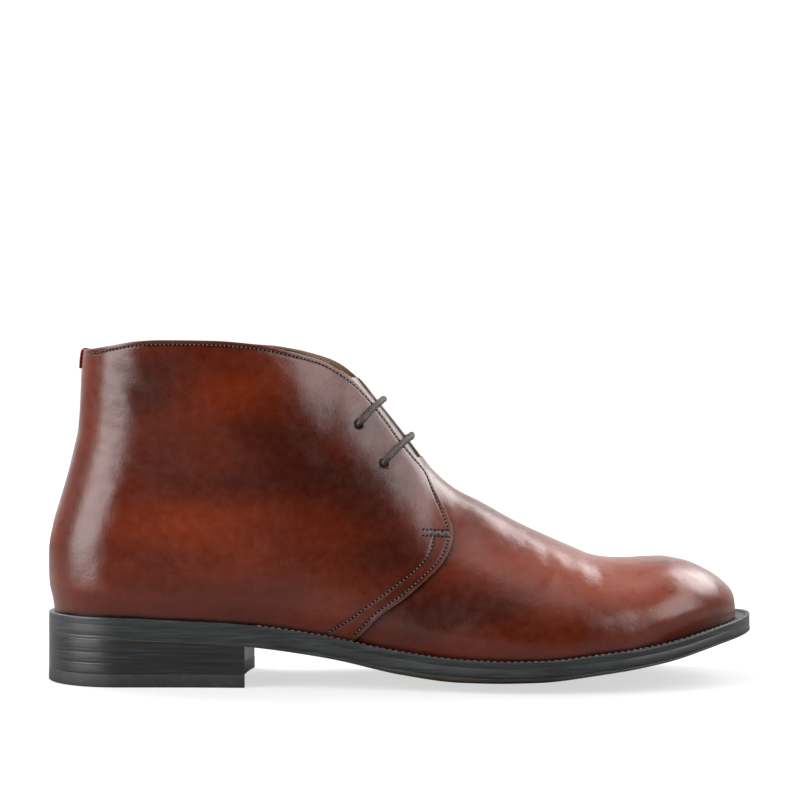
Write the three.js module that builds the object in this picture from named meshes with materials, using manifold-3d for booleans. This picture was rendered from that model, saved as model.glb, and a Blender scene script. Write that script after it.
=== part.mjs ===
import * as THREE from 'three';
import { mergeVertices } from 'three/addons/utils/BufferGeometryUtils.js';
import Module from 'manifold-3d';

// Chukka boot for a right foot, in millimetres. X runs from heel to toe, Z is up and
// the outer side of the foot is -Y. The origin is on the floor under the middle of the heel.

const wasm = await Module();
wasm.setup();

// Main sizes
const LENGTH = 304.4;
const BOOT_HEIGHT = 146;
const BALL_HALF_WIDTH = 54.5;
const HEEL_LENGTH = 87;
const HEEL_HEIGHT = 20.3;
const TOE_SPRING = 20.2;
const BALL_CROWN = 6;
const FLAT_SPOT_DEPTH = 0.6;
const CLEARANCE = 0.3;
const SEAT_CLEARANCE = 0.4;
const FLAT_CLEARANCE = 0.05;

// Upper, tongue and heel tab
const WALL = 1.8;
const QUARTER_STEP = 1.1;
const LEDGE_SIDE = 3.2;
const LEDGE_HEEL = 3.4;
const LEDGE_TOE = 6.2;
const HEEL_ROUNDING = 34;
const TOE_ROUNDING = 44;
const FEATHER_TOE_ROUNDING = 43;
const THROAT_HALF_WIDTH = [11.5, 11];
const QUARTER_GAP_DROP = 16;
const HOLE_DIAMETER = 4;
const TONGUE_THICKNESS = 2;
const TONGUE_HALF_WIDTH = 24;
const TAB_WIDTH = 13;
const TAB_DROP = 8;
const TAB_THICKNESS = 1;

// Sole, insole, heel and lace
const MIDSOLE_THICKNESS = 2.7;
const OUTSOLE_THICKNESS = 6;
const INSOLE_THICKNESS = 3;
const TOP_LIFT_THICKNESS = 5.6;
const LIFT_THICKNESS = 4.5;
const BREAST_HOLLOW = 3;
const LACE_DIAMETER = 2.8;

// Facets
const RING_HALF_POINTS = 27;
const SOLE_STATIONS = 33;
const SOLE_LANES = 8;
const HEEL_STATIONS = 13;
const HEEL_LANES = 4;

const HEEL_BACK = -HEEL_LENGTH / 2;
const TOE_TIP = HEEL_BACK + LENGTH;
const FEATHER_BACK = HEEL_BACK + LEDGE_HEEL;
const FEATHER_TIP = TOE_TIP - LEDGE_TOE;

// Least span that a share is taken of, so that nothing is divided by zero at the tips.
const LEAST_SPAN = LENGTH / 300;

// Sole from heel to toe. Columns: length share, heel pitch share of HEEL_HEIGHT,
// toe spring share, crown share, outsole thickness share.
const SOLE_ROWS = [
  [0.0, 1.0, 0.0, 0.0, 1.0],
  [0.07, 1.0, 0.0, 0.0, 1.0],
  [0.18, 0.935, 0.0, 0.0, 1.0],
  [0.286, 0.85, 0.0, 0.0, 1.0],
  [0.392, 0.576, 0.0, 0.27, 0.98],
  [0.5, 0.172, 0.0, 0.73, 0.9],
  [0.586, 0.01, 0.0, 0.93, 0.8],
  [0.636, 0.0, 0.0, 0.97, 0.73],
  [0.69, 0.0, 0.015, 1.03, 0.68],
  [0.773, 0.0, 0.17, 0.87, 0.74],
  [0.857, 0.0, 0.4, 0.62, 0.75],
  [0.948, 0.0, 0.8, 0.36, 0.7],
  [1.0, 0.0, 1.0, 0.15, 0.76],
];

// Sole outline before its rounded ends. Columns: length share, half width share of
// BALL_HALF_WIDTH, shift of the middle line share of BALL_HALF_WIDTH (towards the inner side).
const OUTLINE_ROWS = [
  [0.0, 0.624, 0.0],
  [0.143, 0.628, 0.0],
  [0.241, 0.61, -0.025],
  [0.356, 0.615, -0.055],
  [0.455, 0.67, -0.08],
  [0.553, 0.807, -0.075],
  [0.652, 0.954, -0.055],
  [0.734, 1.0, -0.02],
  [0.8, 0.972, 0.01],
  [0.866, 0.86, 0.04],
  [0.931, 0.8, 0.065],
  [1.0, 0.76, 0.08],
];

// Last half widths above the feather line. Columns: length share, then the share of
// BALL_HALF_WIDTH at each height of WIDTH_HEIGHTS. The feather line itself is the outline less its ledge.
const WIDTH_HEIGHTS = [0.082, 0.205, 0.41, 0.615, 0.855];
const WIDTH_ROWS = [
  [0.0, 0.596, 0.58, 0.532, 0.556, 0.596],
  [0.126, 0.605, 0.596, 0.56, 0.578, 0.62],
  [0.241, 0.6, 0.606, 0.604, 0.624, 0.65],
  [0.356, 0.618, 0.65, 0.668, 0.668, 0.664],
  [0.455, 0.68, 0.712, 0.722, 0.69, 0.66],
  [0.553, 0.806, 0.81, 0.78, 0.73, 0.69],
  [0.652, 0.93, 0.914, 0.844, 0.77, 0.73],
  [0.75, 0.962, 0.945, 0.862, 0.77, 0.73],
  [0.849, 0.865, 0.85, 0.79, 0.75, 0.73],
  [1.0, 0.71, 0.7, 0.69, 0.69, 0.69],
];

// Back curve of the upper. Columns: height share, reach in front of the feather line's back
// end as a share of LENGTH.
const BACK_ROWS = [
  [0.205, 0.0],
  [0.24, -0.0025],
  [0.289, -0.0073],
  [0.336, -0.0085],
  [0.384, -0.0085],
  [0.455, -0.0032],
  [0.527, 0.0069],
  [0.599, 0.0171],
  [0.67, 0.0256],
  [0.742, 0.0329],
  [0.813, 0.0355],
  [0.883, 0.0371],
  [0.94, 0.0385],
  [0.985, 0.0414],
  [1.12, 0.051],
];

// Crest of the upper from above the collar down the instep to the toe. Columns: length
// share, height share of BOOT_HEIGHT, exponent of the section's arch.
const CREST_ROWS = [
  [0.0, 2.9, 2.5],
  [0.2, 1.95, 2.4],
  [0.3, 1.43, 2.1],
  [0.365, 1.142, 1.9],
  [0.395, 1.029, 1.8],
  [0.426, 0.949, 1.75],
  [0.46, 0.856, 1.75],
  [0.486, 0.789, 1.75],
  [0.52, 0.695, 1.75],
  [0.546, 0.62, 1.75],
  [0.58, 0.56, 1.8],
  [0.614, 0.524, 1.8],
  [0.665, 0.465, 1.85],
  [0.717, 0.415, 1.95],
  [0.752, 0.3836, 2.1],
  [0.7685, 0.369, 2.15],
  [0.786, 0.3603, 2.2],
  [0.803, 0.3568, 2.3],
  [0.82, 0.3562, 2.35],
  [0.843, 0.3585, 2.4],
  [0.871, 0.3605, 2.5],
  [0.906, 0.349, 2.6],
  [0.94, 0.3185, 2.6],
  [0.957, 0.2945, 2.6],
  [0.9655, 0.279, 2.6],
  [0.9745, 0.2565, 2.6],
  [0.9783, 0.229, 2.6],
  [0.98, 0.18, 2.6],
];

// Rings from the feather line to above the collar. Columns: height share at the back
// curve, length share at the crest. The first ring follows the feather line.
const RING_ROWS = [
  [0.205, 0.98],
  [0.226, 0.979],
  [0.24, 0.974],
  [0.254, 0.963],
  [0.268, 0.943],
  [0.282, 0.915],
  [0.299, 0.879],
  [0.319, 0.836],
  [0.343, 0.79],
  [0.377, 0.741],
  [0.418, 0.688],
  [0.466, 0.637],
  [0.521, 0.591],
  [0.582, 0.552],
  [0.651, 0.519],
  [0.726, 0.49],
  [0.808, 0.464],
  [0.897, 0.438],
  [1.0, 0.41],
  [1.1, 0.38],
];

// Collar line. Columns: length share, height share at the inner side, at the outer side.
const COLLAR_ROWS = [
  [-0.1, 0.974, 0.974],
  [0.062, 0.974, 0.974],
  [0.1, 0.984, 0.984],
  [0.134, 0.995, 0.996],
  [0.168, 0.998, 1.0],
  [0.237, 0.997, 0.998],
  [0.306, 0.99, 0.985],
  [0.34, 0.979, 0.969],
  [0.374, 0.961, 0.95],
  [0.405, 0.937, 0.924],
  [0.44, 0.885, 0.875],
];

// Front edge of the quarters below the throat. Columns: length share, height share.
const QUARTER_ROWS = [
  [0.5335, 0.62],
  [0.5395, 0.6],
  [0.549, 0.555],
  [0.56, 0.509],
  [0.57, 0.465],
  [0.573, 0.434],
  [0.569, 0.3985],
  [0.558, 0.3575],
  [0.536, 0.313],
  [0.505, 0.258],
  [0.473, 0.212],
  [0.453, 0.171],
  [0.433, 0.13],
];

// Tongue limits in the side view: length share and height share.
const TONGUE_ROWS = [
  [0.62, 0.4],
  [0.6, 0.62],
  [0.46, 0.96],
  [0.36, 0.905],
  [0.38, 0.8],
  [0.44, 0.6],
  [0.5, 0.47],
];

// Lace holes. Columns: length share, height share.
const HOLE_ROWS = [
  [0.4765, 0.64],
  [0.441, 0.752],
];

// Where each lace bar crosses the crest, as a share of LENGTH.
const BAR_REACH = [0.51, 0.47];

// Edge of the outsole. Columns: depth share, outward growth in mm.
const OUTSOLE_EDGE_ROWS = [
  [0.0, -0.5],
  [0.14, 0.0],
  [0.6, 0.0],
  [0.68, -0.5],
  [0.76, 0.25],
  [1.0, 0.1],
];

function clamp(value, low, high) {
  return Math.min(high, Math.max(low, value));
}

function lerp(a, b, t) {
  return a + (b - a) * t;
}

function smoothStep(value) {
  const t = clamp(value, 0, 1);
  return t * t * (3 - 2 * t);
}

// Smooth curve through one column of a table, held level beyond its ends.
function tableCurve(rows, column) {
  const keys = rows.map((row) => row[0]);
  const values = rows.map((row) => row[column]);
  const last = rows.length - 1;
  const slope = (i) => (values[i + 1] - values[i]) / (keys[i + 1] - keys[i]);
  const tangents = values.map((value, i) => {
    if (i === 0) return slope(0);
    if (i === last) return slope(last - 1);
    const before = slope(i - 1);
    const after = slope(i);
    if (before * after <= 0) return 0;
    return (2 * before * after) / (before + after);
  });
  return (key) => {
    if (key <= keys[0]) return values[0];
    if (key >= keys[last]) return values[last];
    let i = 0;
    while (key > keys[i + 1]) i += 1;
    const span = keys[i + 1] - keys[i];
    const t = (key - keys[i]) / span;
    const rise = t * t * (3 - 2 * t);
    const start = t * (1 - t) * (1 - t) * span * tangents[i];
    const end = t * t * (t - 1) * span * tangents[i + 1];
    return lerp(values[i], values[i + 1], rise) + start + end;
  };
}

const lengthShare = (x) => (x - HEEL_BACK) / LENGTH;
const atLength = (share) => HEEL_BACK + share * LENGTH;
const atHeight = (share) => share * BOOT_HEIGHT;

const pitchCurve = tableCurve(SOLE_ROWS, 1);
const springCurve = tableCurve(SOLE_ROWS, 2);
const crownCurve = tableCurve(SOLE_ROWS, 3);
const thicknessCurve = tableCurve(SOLE_ROWS, 4);
const outlineWidthCurve = tableCurve(OUTLINE_ROWS, 1);
const outlineShiftCurve = tableCurve(OUTLINE_ROWS, 2);
const backCurve = tableCurve(BACK_ROWS, 1);
const crestCurve = tableCurve(CREST_ROWS, 1);
const archCurve = tableCurve(CREST_ROWS, 2);
const widthCurves = WIDTH_HEIGHTS.map((height, i) => tableCurve(WIDTH_ROWS, i + 1));

// Quarter of a circle stretched over the given length: 0 at its end, 1 beyond the length.
function roundedEnd(distance, length) {
  const left = 1 - clamp(distance / length, 0, 1);
  return Math.sqrt(1 - left * left);
}

const outlineCore = (x) => outlineWidthCurve(lengthShare(x)) * BALL_HALF_WIDTH;
const outlineMiddle = (x) => outlineShiftCurve(lengthShare(x)) * BALL_HALF_WIDTH;

function soleHalfWidth(x) {
  return outlineCore(x) * roundedEnd(x - HEEL_BACK, HEEL_ROUNDING) * roundedEnd(TOE_TIP - x, TOE_ROUNDING);
}

// Height of the sole's underside before the flat spot under the ball is levelled.
function soleUnderside(x, y) {
  const share = lengthShare(x);
  const middle = pitchCurve(share) * HEEL_HEIGHT + springCurve(share) * TOE_SPRING;
  const across = clamp((y - outlineMiddle(x)) / Math.max(soleHalfWidth(x), LEAST_SPAN), -1, 1);
  return middle + crownCurve(share) * BALL_CROWN * across * across;
}

function outsoleBottom(x, y) {
  const share = lengthShare(x);
  const dip = FLAT_SPOT_DEPTH * crownCurve(share);
  return Math.max(0, soleUnderside(x, y) - dip);
}

function outsoleTop(x, y) {
  return soleUnderside(x, y) + thicknessCurve(lengthShare(x)) * OUTSOLE_THICKNESS;
}

const midsoleBottom = (x, y) => outsoleTop(x, y) + SEAT_CLEARANCE;
const midsoleTop = (x, y) => midsoleBottom(x, y) + MIDSOLE_THICKNESS;
const insoleBottom = (x, y) => midsoleTop(x, y) + SEAT_CLEARANCE;
const insoleTop = (x, y) => insoleBottom(x, y) + INSOLE_THICKNESS;

function featherHalfWidth(x) {
  const forward = smoothStep((lengthShare(x) - 0.8) / 0.18);
  const ledge = lerp(LEDGE_SIDE, LEDGE_TOE, forward);
  const heel = roundedEnd(x - FEATHER_BACK, HEEL_ROUNDING - LEDGE_HEEL);
  return (outlineCore(x) - ledge) * heel * roundedEnd(FEATHER_TIP - x, FEATHER_TOE_ROUNDING);
}

function featherHeight(x, side) {
  const y = outlineMiddle(x) + side * featherHalfWidth(x);
  return midsoleTop(x, y) + SEAT_CLEARANCE;
}

// Half width of the last before its back and crest are rounded off.
function lastHalfWidth(x, height) {
  const forward = smoothStep((lengthShare(x) - 0.8) / 0.18);
  const ledge = lerp(LEDGE_SIDE, LEDGE_TOE, forward);
  const share = lengthShare(x);
  const rows = WIDTH_HEIGHTS.map((level, i) => [level, widthCurves[i](share) * BALL_HALF_WIDTH]);
  return tableCurve([[0, outlineCore(x) - ledge], ...rows], 1)(height / BOOT_HEIGHT);
}

const backReach = (z) => FEATHER_BACK + backCurve(z / BOOT_HEIGHT) * LENGTH;
const crestHeight = (x) => crestCurve(lengthShare(x)) * BOOT_HEIGHT;

// Point of the last's surface over the side view point x, z. Side is -1 outer or 1 inner.
function lastSide(x, z, side) {
  const foot = featherHeight(x, side);
  const height = Math.max(0, z - foot);
  const rise = clamp(height / Math.max(crestHeight(x) - foot, LEAST_SPAN), 0, 1);
  const arch = Math.sqrt(1 - rise ** archCurve(lengthShare(x)));
  const back = roundedEnd(x - backReach(Math.max(z, foot)), HEEL_ROUNDING - LEDGE_HEEL);
  const toe = roundedEnd(FEATHER_TIP - x, FEATHER_TOE_ROUNDING);
  const shift = outlineMiddle(x) * (1 - smoothStep(height / atHeight(0.45)));
  return shift + side * lastHalfWidth(x, height) * arch * back * toe;
}

function ringPoint(row, t, side) {
  const v = row / (RING_ROWS.length - 1);
  const [backShare, frontShare] = RING_ROWS[row];
  const backHeight = row === 0 ? featherHeight(FEATHER_BACK, side) : atHeight(backShare);
  const backX = row === 0 ? FEATHER_BACK : backReach(backHeight);
  const frontX = row === 0 ? FEATHER_TIP : atLength(frontShare);
  const frontHeight = row === 0 ? featherHeight(FEATHER_TIP, side) : crestHeight(frontX);
  const x = lerp(backX, frontX, t);
  const straight = lerp(featherHeight(FEATHER_BACK, side), featherHeight(FEATHER_TIP, side), t);
  const featherX = lerp(FEATHER_BACK, FEATHER_TIP, t);
  const sag = (featherHeight(featherX, side) - straight) * (1 - v) ** 2.2;
  const z = row === 0 ? featherHeight(x, side) : lerp(backHeight, frontHeight, t) + sag;
  const atEnd = t <= 0 || t >= 1;
  const middle = outlineMiddle(x) * (1 - smoothStep((z - featherHeight(x, 0)) / atHeight(0.45)));
  return new THREE.Vector3(x, atEnd ? middle : lastSide(x, z, side), z);
}

// Rings of points round the last: outer side from back to front, then the inner side back.
function lastRings() {
  const half = RING_HALF_POINTS - 1;
  return RING_ROWS.map((ringRow, row) => {
    const ring = [];
    for (let k = 0; k < 2 * half; k += 1) {
      const along = k <= half ? k / half : (2 * half - k) / half;
      const t = (1 - Math.cos(Math.PI * along)) / 2;
      ring.push(ringPoint(row, t, k <= half ? -1 : 1));
    }
    return ring;
  });
}

const LAST_RINGS = lastRings();

function ringNormal(row, k) {
  const rows = LAST_RINGS.length;
  const count = LAST_RINGS[0].length;
  const below = LAST_RINGS[Math.max(0, row - 1)][k];
  const above = LAST_RINGS[Math.min(rows - 1, row + 1)][k];
  const before = LAST_RINGS[row][(k + count - 1) % count];
  const after = LAST_RINGS[row][(k + 1) % count];
  const along = after.clone().sub(before);
  const up = above.clone().sub(below);
  const normal = along.cross(up);
  if (row === 0) normal.z = 0;
  return normal.normalize();
}

function offsetRings(offset) {
  return LAST_RINGS.map((ring, row) => ring.map((point, k) => {
    const moved = point.clone().addScaledVector(ringNormal(row, k), offset);
    if (row === 0) moved.z = midsoleTop(moved.x, moved.y) + SEAT_CLEARANCE;
    return moved;
  }));
}

function movedRing(ring, dz) {
  return ring.map((point) => new THREE.Vector3(point.x, point.y, point.z + dz));
}

function pushTriangle(target, a, b, c) {
  const area = b.clone().sub(a).cross(c.clone().sub(a)).lengthSq();
  if (area > 1e-14) target.push(...a.toArray(), ...b.toArray(), ...c.toArray());
}

function pushQuad(target, a, b, c, d) {
  pushTriangle(target, a, b, c);
  pushTriangle(target, a, c, d);
}

function geometryFrom(positions) {
  const geometry = new THREE.BufferGeometry();
  geometry.setAttribute('position', new THREE.Float32BufferAttribute(positions, 3));
  return mergeVertices(geometry, 1e-4);
}

function toManifold(geometry) {
  const plain = geometry.clone();
  plain.deleteAttribute('normal');
  plain.deleteAttribute('uv');
  const merged = mergeVertices(plain, 1e-4);
  const vertProperties = new Float32Array(merged.attributes.position.array);
  const triVerts = new Uint32Array(merged.index.array);
  return new wasm.Manifold(new wasm.Mesh({ numProp: 3, vertProperties, triVerts }));
}

function fromManifold(solid) {
  const mesh = solid.getMesh();
  const geometry = new THREE.BufferGeometry();
  geometry.setAttribute('position', new THREE.BufferAttribute(new Float32Array(mesh.vertProperties), 3));
  geometry.setIndex(new THREE.BufferAttribute(new Uint32Array(mesh.triVerts), 1));
  return geometry;
}

// Closed loft through rings of equal point count, capped by strips from side to side.
function loft(rings) {
  const positions = [];
  const count = rings[0].length;
  for (let row = 0; row + 1 < rings.length; row += 1) {
    for (let k = 0; k < count; k += 1) {
      const next = (k + 1) % count;
      pushQuad(positions, rings[row][k], rings[row][next], rings[row + 1][next], rings[row + 1][k]);
    }
  }
  const bottom = rings[0];
  const top = rings[rings.length - 1];
  for (let k = 0; k < count / 2; k += 1) {
    const mirror = (count - k) % count;
    pushQuad(positions, bottom[k], bottom[mirror], bottom[count - k - 1], bottom[k + 1]);
    pushQuad(positions, top[k], top[k + 1], top[count - k - 1], top[mirror]);
  }
  return toManifold(geometryFrom(positions));
}

const outerForm = (offset) => loft(offsetRings(offset));

// The inner form runs on past the feather line so that it cuts the upper open below.
function innerForm(offset) {
  const rings = offsetRings(offset);
  return loft([movedRing(rings[0], -3 * WALL), ...rings]);
}

// Prism over a side view outline of x, z points, from one y to another.
function sidePrism(points, fromY, toY) {
  const shape = new THREE.Shape(points.map(([x, z]) => new THREE.Vector2(x, z)));
  const geometry = new THREE.ExtrudeGeometry(shape, { depth: toY - fromY, bevelEnabled: false });
  geometry.applyMatrix4(new THREE.Matrix4().makeRotationX(Math.PI / 2));
  geometry.translate(0, toY, 0);
  return toManifold(geometry);
}

const SIDE_REACH = 3 * BALL_HALF_WIDTH;

function collarLine(side, lift) {
  const column = side > 0 ? 1 : 2;
  return COLLAR_ROWS.map((row) => [atLength(row[0]), atHeight(row[column]) + lift]);
}

function collarCutter(side) {
  const line = collarLine(side, 0);
  const last = line[line.length - 1];
  const top = 2 * BOOT_HEIGHT;
  const points = [...line, [last[0] + LENGTH, last[1]], [last[0] + LENGTH, top], [line[0][0], top]];
  return side > 0 ? sidePrism(points, 0, SIDE_REACH) : sidePrism(points, -SIDE_REACH, 0);
}

// Opening between the facings, cut square to the line of the instep and lengthened downwards.
function throatCutter(longer) {
  const foot = new THREE.Vector3(atLength(0.541), 0, atHeight(0.635));
  const head = new THREE.Vector3(atLength(0.412), 0, atHeight(0.985));
  const up = head.clone().sub(foot);
  const height = up.length() * 1.3 + longer;
  up.normalize();
  foot.addScaledVector(up, -longer);
  const [low, high] = THROAT_HALF_WIDTH;
  const shape = new THREE.Shape();
  shape.moveTo(high, height);
  shape.lineTo(-high, height);
  shape.lineTo(-low, low);
  shape.absarc(0, low, low, Math.PI, 2 * Math.PI, false);
  shape.lineTo(high, height);
  const depth = 0.3 * BOOT_HEIGHT;
  const geometry = new THREE.ExtrudeGeometry(shape, { depth, bevelEnabled: false, curveSegments: 8 });
  const across = new THREE.Vector3(0, 1, 0);
  const outward = new THREE.Vector3().crossVectors(across, up);
  geometry.translate(0, 0, -depth / 3);
  geometry.applyMatrix4(new THREE.Matrix4().makeBasis(across, up, outward).setPosition(foot));
  return toManifold(geometry);
}

function quarterPrism() {
  const edge = QUARTER_ROWS.map(([x, z]) => [atLength(x), atHeight(z)]);
  const behind = atLength(-0.2);
  const lowest = edge[edge.length - 1];
  const points = [[behind, lowest[1]], [behind, 2 * BOOT_HEIGHT], [edge[0][0], 2 * BOOT_HEIGHT], ...edge];
  return sidePrism(points.reverse(), -SIDE_REACH, SIDE_REACH);
}

function surfaceNormal(x, z, side) {
  const step = 1;
  const dx = (lastSide(x + step, z, side) - lastSide(x - step, z, side)) / (2 * step);
  const dz = (lastSide(x, z + step, side) - lastSide(x, z - step, side)) / (2 * step);
  return new THREE.Vector3(-dx * side, side, -dz * side).normalize();
}

function holeCutter(x, z, side) {
  const radius = HOLE_DIAMETER / 2;
  const depth = 8 * (WALL + QUARTER_STEP);
  const geometry = new THREE.CylinderGeometry(radius, radius, depth, 16);
  const normal = surfaceNormal(x, z, side);
  geometry.applyQuaternion(new THREE.Quaternion().setFromUnitVectors(new THREE.Vector3(0, 1, 0), normal));
  geometry.translate(x, lastSide(x, z, side), z);
  return toManifold(geometry);
}

function cutAll(solid, cutters) {
  return cutters.reduce((rest, cutter) => rest.subtract(cutter), solid);
}

function upperSolid() {
  const quarters = outerForm(QUARTER_STEP).intersect(quarterPrism()).subtract(throatCutter(QUARTER_GAP_DROP));
  const hollow = outerForm(0).add(quarters).subtract(innerForm(-WALL));
  const holes = HOLE_ROWS.flatMap(([x, z]) => [-1, 1].map((side) => holeCutter(atLength(x), atHeight(z), side)));
  return cutAll(hollow, [collarCutter(-1), collarCutter(1), throatCutter(0), ...holes]);
}

function tongueSolid() {
  const outside = -WALL - CLEARANCE;
  const sheet = innerForm(outside).subtract(innerForm(outside - TONGUE_THICKNESS));
  const limits = TONGUE_ROWS.map(([x, z]) => [atLength(x), atHeight(z)]);
  return sheet.intersect(sidePrism(limits.reverse(), -TONGUE_HALF_WIDTH, TONGUE_HALF_WIDTH));
}

// Zone at the back of the heel, as wide as its tab, from a floor up to the lifted collar line.
function tabZone(lift, floor) {
  const line = collarLine(1, lift).filter(([x]) => x < FEATHER_BACK + HEEL_ROUNDING);
  const last = line[line.length - 1];
  const points = [[line[0][0], floor], [last[0], floor], ...line.reverse()];
  return sidePrism(points, -TAB_WIDTH / 2, TAB_WIDTH / 2);
}

// Strap folded over the collar at the back seam.
function heelTabSolid() {
  const fold = CLEARANCE + TAB_THICKNESS;
  const [, tabTop] = collarLine(1, 0)[0];
  const strap = outerForm(QUARTER_STEP + fold).subtract(outerForm(-WALL - fold));
  const leather = outerForm(QUARTER_STEP + CLEARANCE).subtract(outerForm(-WALL - CLEARANCE));
  return strap.intersect(tabZone(fold, tabTop - TAB_DROP)).subtract(leather.intersect(tabZone(CLEARANCE, 0)));
}

// Plan loop of the sole: outer side from back to tip, then the inner side back.
function soleLoop(grow) {
  const half = SOLE_STATIONS - 1;
  const loop = [];
  for (let k = 0; k < 2 * half; k += 1) {
    const along = k <= half ? k / half : (2 * half - k) / half;
    const side = k <= half ? -1 : 1;
    const x = lerp(HEEL_BACK, TOE_TIP, (1 - Math.cos(Math.PI * along)) / 2);
    loop.push(new THREE.Vector2(x, outlineMiddle(x) + side * soleHalfWidth(x)));
  }
  return grownLoop(loop, grow);
}

function grownLoop(loop, grow) {
  const count = loop.length;
  return loop.map((point, k) => {
    const before = loop[(k + count - 1) % count];
    const after = loop[(k + 1) % count];
    const along = after.clone().sub(before).normalize();
    return new THREE.Vector2(point.x + along.y * grow, point.y - along.x * grow);
  });
}

// Slab between two heights over plan loops. Each level has a loop and a height function.
function slab(levels, lanes) {
  const count = levels[0].loop.length;
  const half = count / 2;
  const positions = [];
  const lifted = levels.map(({ loop, height }) => loop.map((p) => new THREE.Vector3(p.x, p.y, height(p.x, p.y))));
  const lane = (level, k, j) => {
    const a = lifted[level][k];
    const b = lifted[level][(count - k) % count];
    if (j === 0) return a;
    if (j === lanes) return b;
    const x = lerp(a.x, b.x, j / lanes);
    const y = lerp(a.y, b.y, j / lanes);
    return new THREE.Vector3(x, y, levels[level].height(x, y));
  };
  const bottom = levels.length - 1;
  for (let k = 0; k < half; k += 1) {
    for (let j = 0; j < lanes; j += 1) {
      pushQuad(positions, lane(0, k, j), lane(0, k + 1, j), lane(0, k + 1, j + 1), lane(0, k, j + 1));
      pushQuad(positions, lane(bottom, k, j), lane(bottom, k, j + 1), lane(bottom, k + 1, j + 1), lane(bottom, k + 1, j));
    }
  }
  for (let level = 0; level < bottom; level += 1) {
    for (let k = 0; k < count; k += 1) {
      const next = (k + 1) % count;
      pushQuad(positions, lifted[level][k], lifted[level + 1][k], lifted[level + 1][next], lifted[level][next]);
    }
  }
  return geometryFrom(positions);
}

function outsoleGeometry() {
  const levels = OUTSOLE_EDGE_ROWS.map(([depth, grow]) => ({
    loop: soleLoop(grow),
    height: (x, y) => lerp(outsoleTop(x, y), outsoleBottom(x, y), depth),
  }));
  return slab(levels, SOLE_LANES);
}

function midsoleGeometry() {
  const bead = 0.5;
  return slab([
    { loop: soleLoop(-bead), height: midsoleTop },
    { loop: soleLoop(0), height: (x, y) => midsoleTop(x, y) - bead },
    { loop: soleLoop(0), height: midsoleBottom },
  ], SOLE_LANES);
}

function insoleGeometry() {
  const ring = offsetRings(-WALL - 2 * CLEARANCE)[0];
  const loop = ring.map((point) => new THREE.Vector2(point.x, point.y));
  return slab([{ loop, height: insoleTop }, { loop, height: insoleBottom }], SOLE_LANES);
}

// Plan loop of the heel: outer side from the back to the breast, then the inner side back.
function heelSlab(top, bottom) {
  const steps = HEEL_STATIONS - 1;
  const breast = HEEL_BACK + HEEL_LENGTH;
  const positions = [];
  const point = (k, j, height) => {
    const along = 1 - Math.cos((Math.PI / 2) * (k / steps));
    const x = lerp(HEEL_BACK, breast, along);
    const across = (2 * j) / HEEL_LANES - 1;
    const y = outlineMiddle(x) + across * soleHalfWidth(x);
    const hollow = BREAST_HOLLOW * (1 - across * across) * along ** 3;
    return new THREE.Vector3(x - hollow, y, height(x - hollow, y));
  };
  const wall = (a, b) => {
    pushQuad(positions, point(...a, top), point(...a, bottom), point(...b, bottom), point(...b, top));
  };
  for (let k = 0; k < steps; k += 1) {
    for (let j = 0; j < HEEL_LANES; j += 1) {
      pushQuad(positions, point(k, j, top), point(k + 1, j, top), point(k + 1, j + 1, top), point(k, j + 1, top));
      pushQuad(
        positions,
        point(k, j, bottom),
        point(k, j + 1, bottom),
        point(k + 1, j + 1, bottom),
        point(k + 1, j, bottom),
      );
    }
    wall([k, 0], [k + 1, 0]);
    wall([k + 1, HEEL_LANES], [k, HEEL_LANES]);
  }
  for (let j = 0; j < HEEL_LANES; j += 1) wall([steps, j], [steps, j + 1]);
  return geometryFrom(positions);
}

function liftGeometry(index) {
  const low = TOP_LIFT_THICKNESS + (index - 1) * LIFT_THICKNESS + FLAT_CLEARANCE;
  return heelSlab(() => low + LIFT_THICKNESS - FLAT_CLEARANCE, () => low);
}

// The last lift is a wedge that takes up the slope under the outsole.
function wedgeLiftGeometry() {
  const low = TOP_LIFT_THICKNESS + 2 * LIFT_THICKNESS + FLAT_CLEARANCE;
  return heelSlab((x, y) => outsoleBottom(x, y) - SEAT_CLEARANCE, () => low);
}

const topLiftGeometry = () => heelSlab(() => TOP_LIFT_THICKNESS, () => 0);

// Lace bar lying over both facings, from above one hole to above the other.
function laceBarGeometry(row) {
  const [xShare, zShare] = HOLE_ROWS[row];
  const hole = { x: atLength(xShare), z: atHeight(zShare) };
  const reach = { x: atLength(BAR_REACH[row]), z: 0 };
  reach.z = crestHeight(reach.x);
  const lift = QUARTER_STEP + 2 * CLEARANCE + LACE_DIAMETER / 2;
  const points = [];
  const steps = 7;
  for (let side = -1; side <= 1; side += 2) {
    const half = [];
    for (let i = 0; i <= steps; i += 1) {
      const t = 1 - (1 - i / (steps + 0.6)) ** 2;
      const x = lerp(hole.x, reach.x, t);
      const z = lerp(hole.z, reach.z, t);
      const normal = surfaceNormal(x, z, side);
      half.push(new THREE.Vector3(x, lastSide(x, z, side), z).addScaledVector(normal, lift));
    }
    if (side < 0) points.push(...half);
    else points.push(...half.reverse());
  }
  const path = new THREE.CatmullRomCurve3(points, false, 'centripetal');
  const section = new THREE.Shape();
  section.absarc(0, 0, LACE_DIAMETER / 2, 0, 2 * Math.PI, false);
  const settings = { steps: 20, extrudePath: path, bevelEnabled: false, curveSegments: 5 };
  return new THREE.ExtrudeGeometry(section, settings);
}

const UPPER_LEATHER = { color: 0x6e2a17, roughness: 0.38, metalness: 0 };
const LINING_LEATHER = { color: 0x7a5c30, roughness: 0.7, metalness: 0 };
const EDGE_LEATHER = { color: 0x2c2a2a, roughness: 0.5, metalness: 0 };
const HEEL_RUBBER = { color: 0x3a3836, roughness: 0.75, metalness: 0 };
const WAXED_CORD = { color: 0x3a2a24, roughness: 0.6, metalness: 0 };

const group = new THREE.Group();
group.name = 'chukka_boot';

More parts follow.
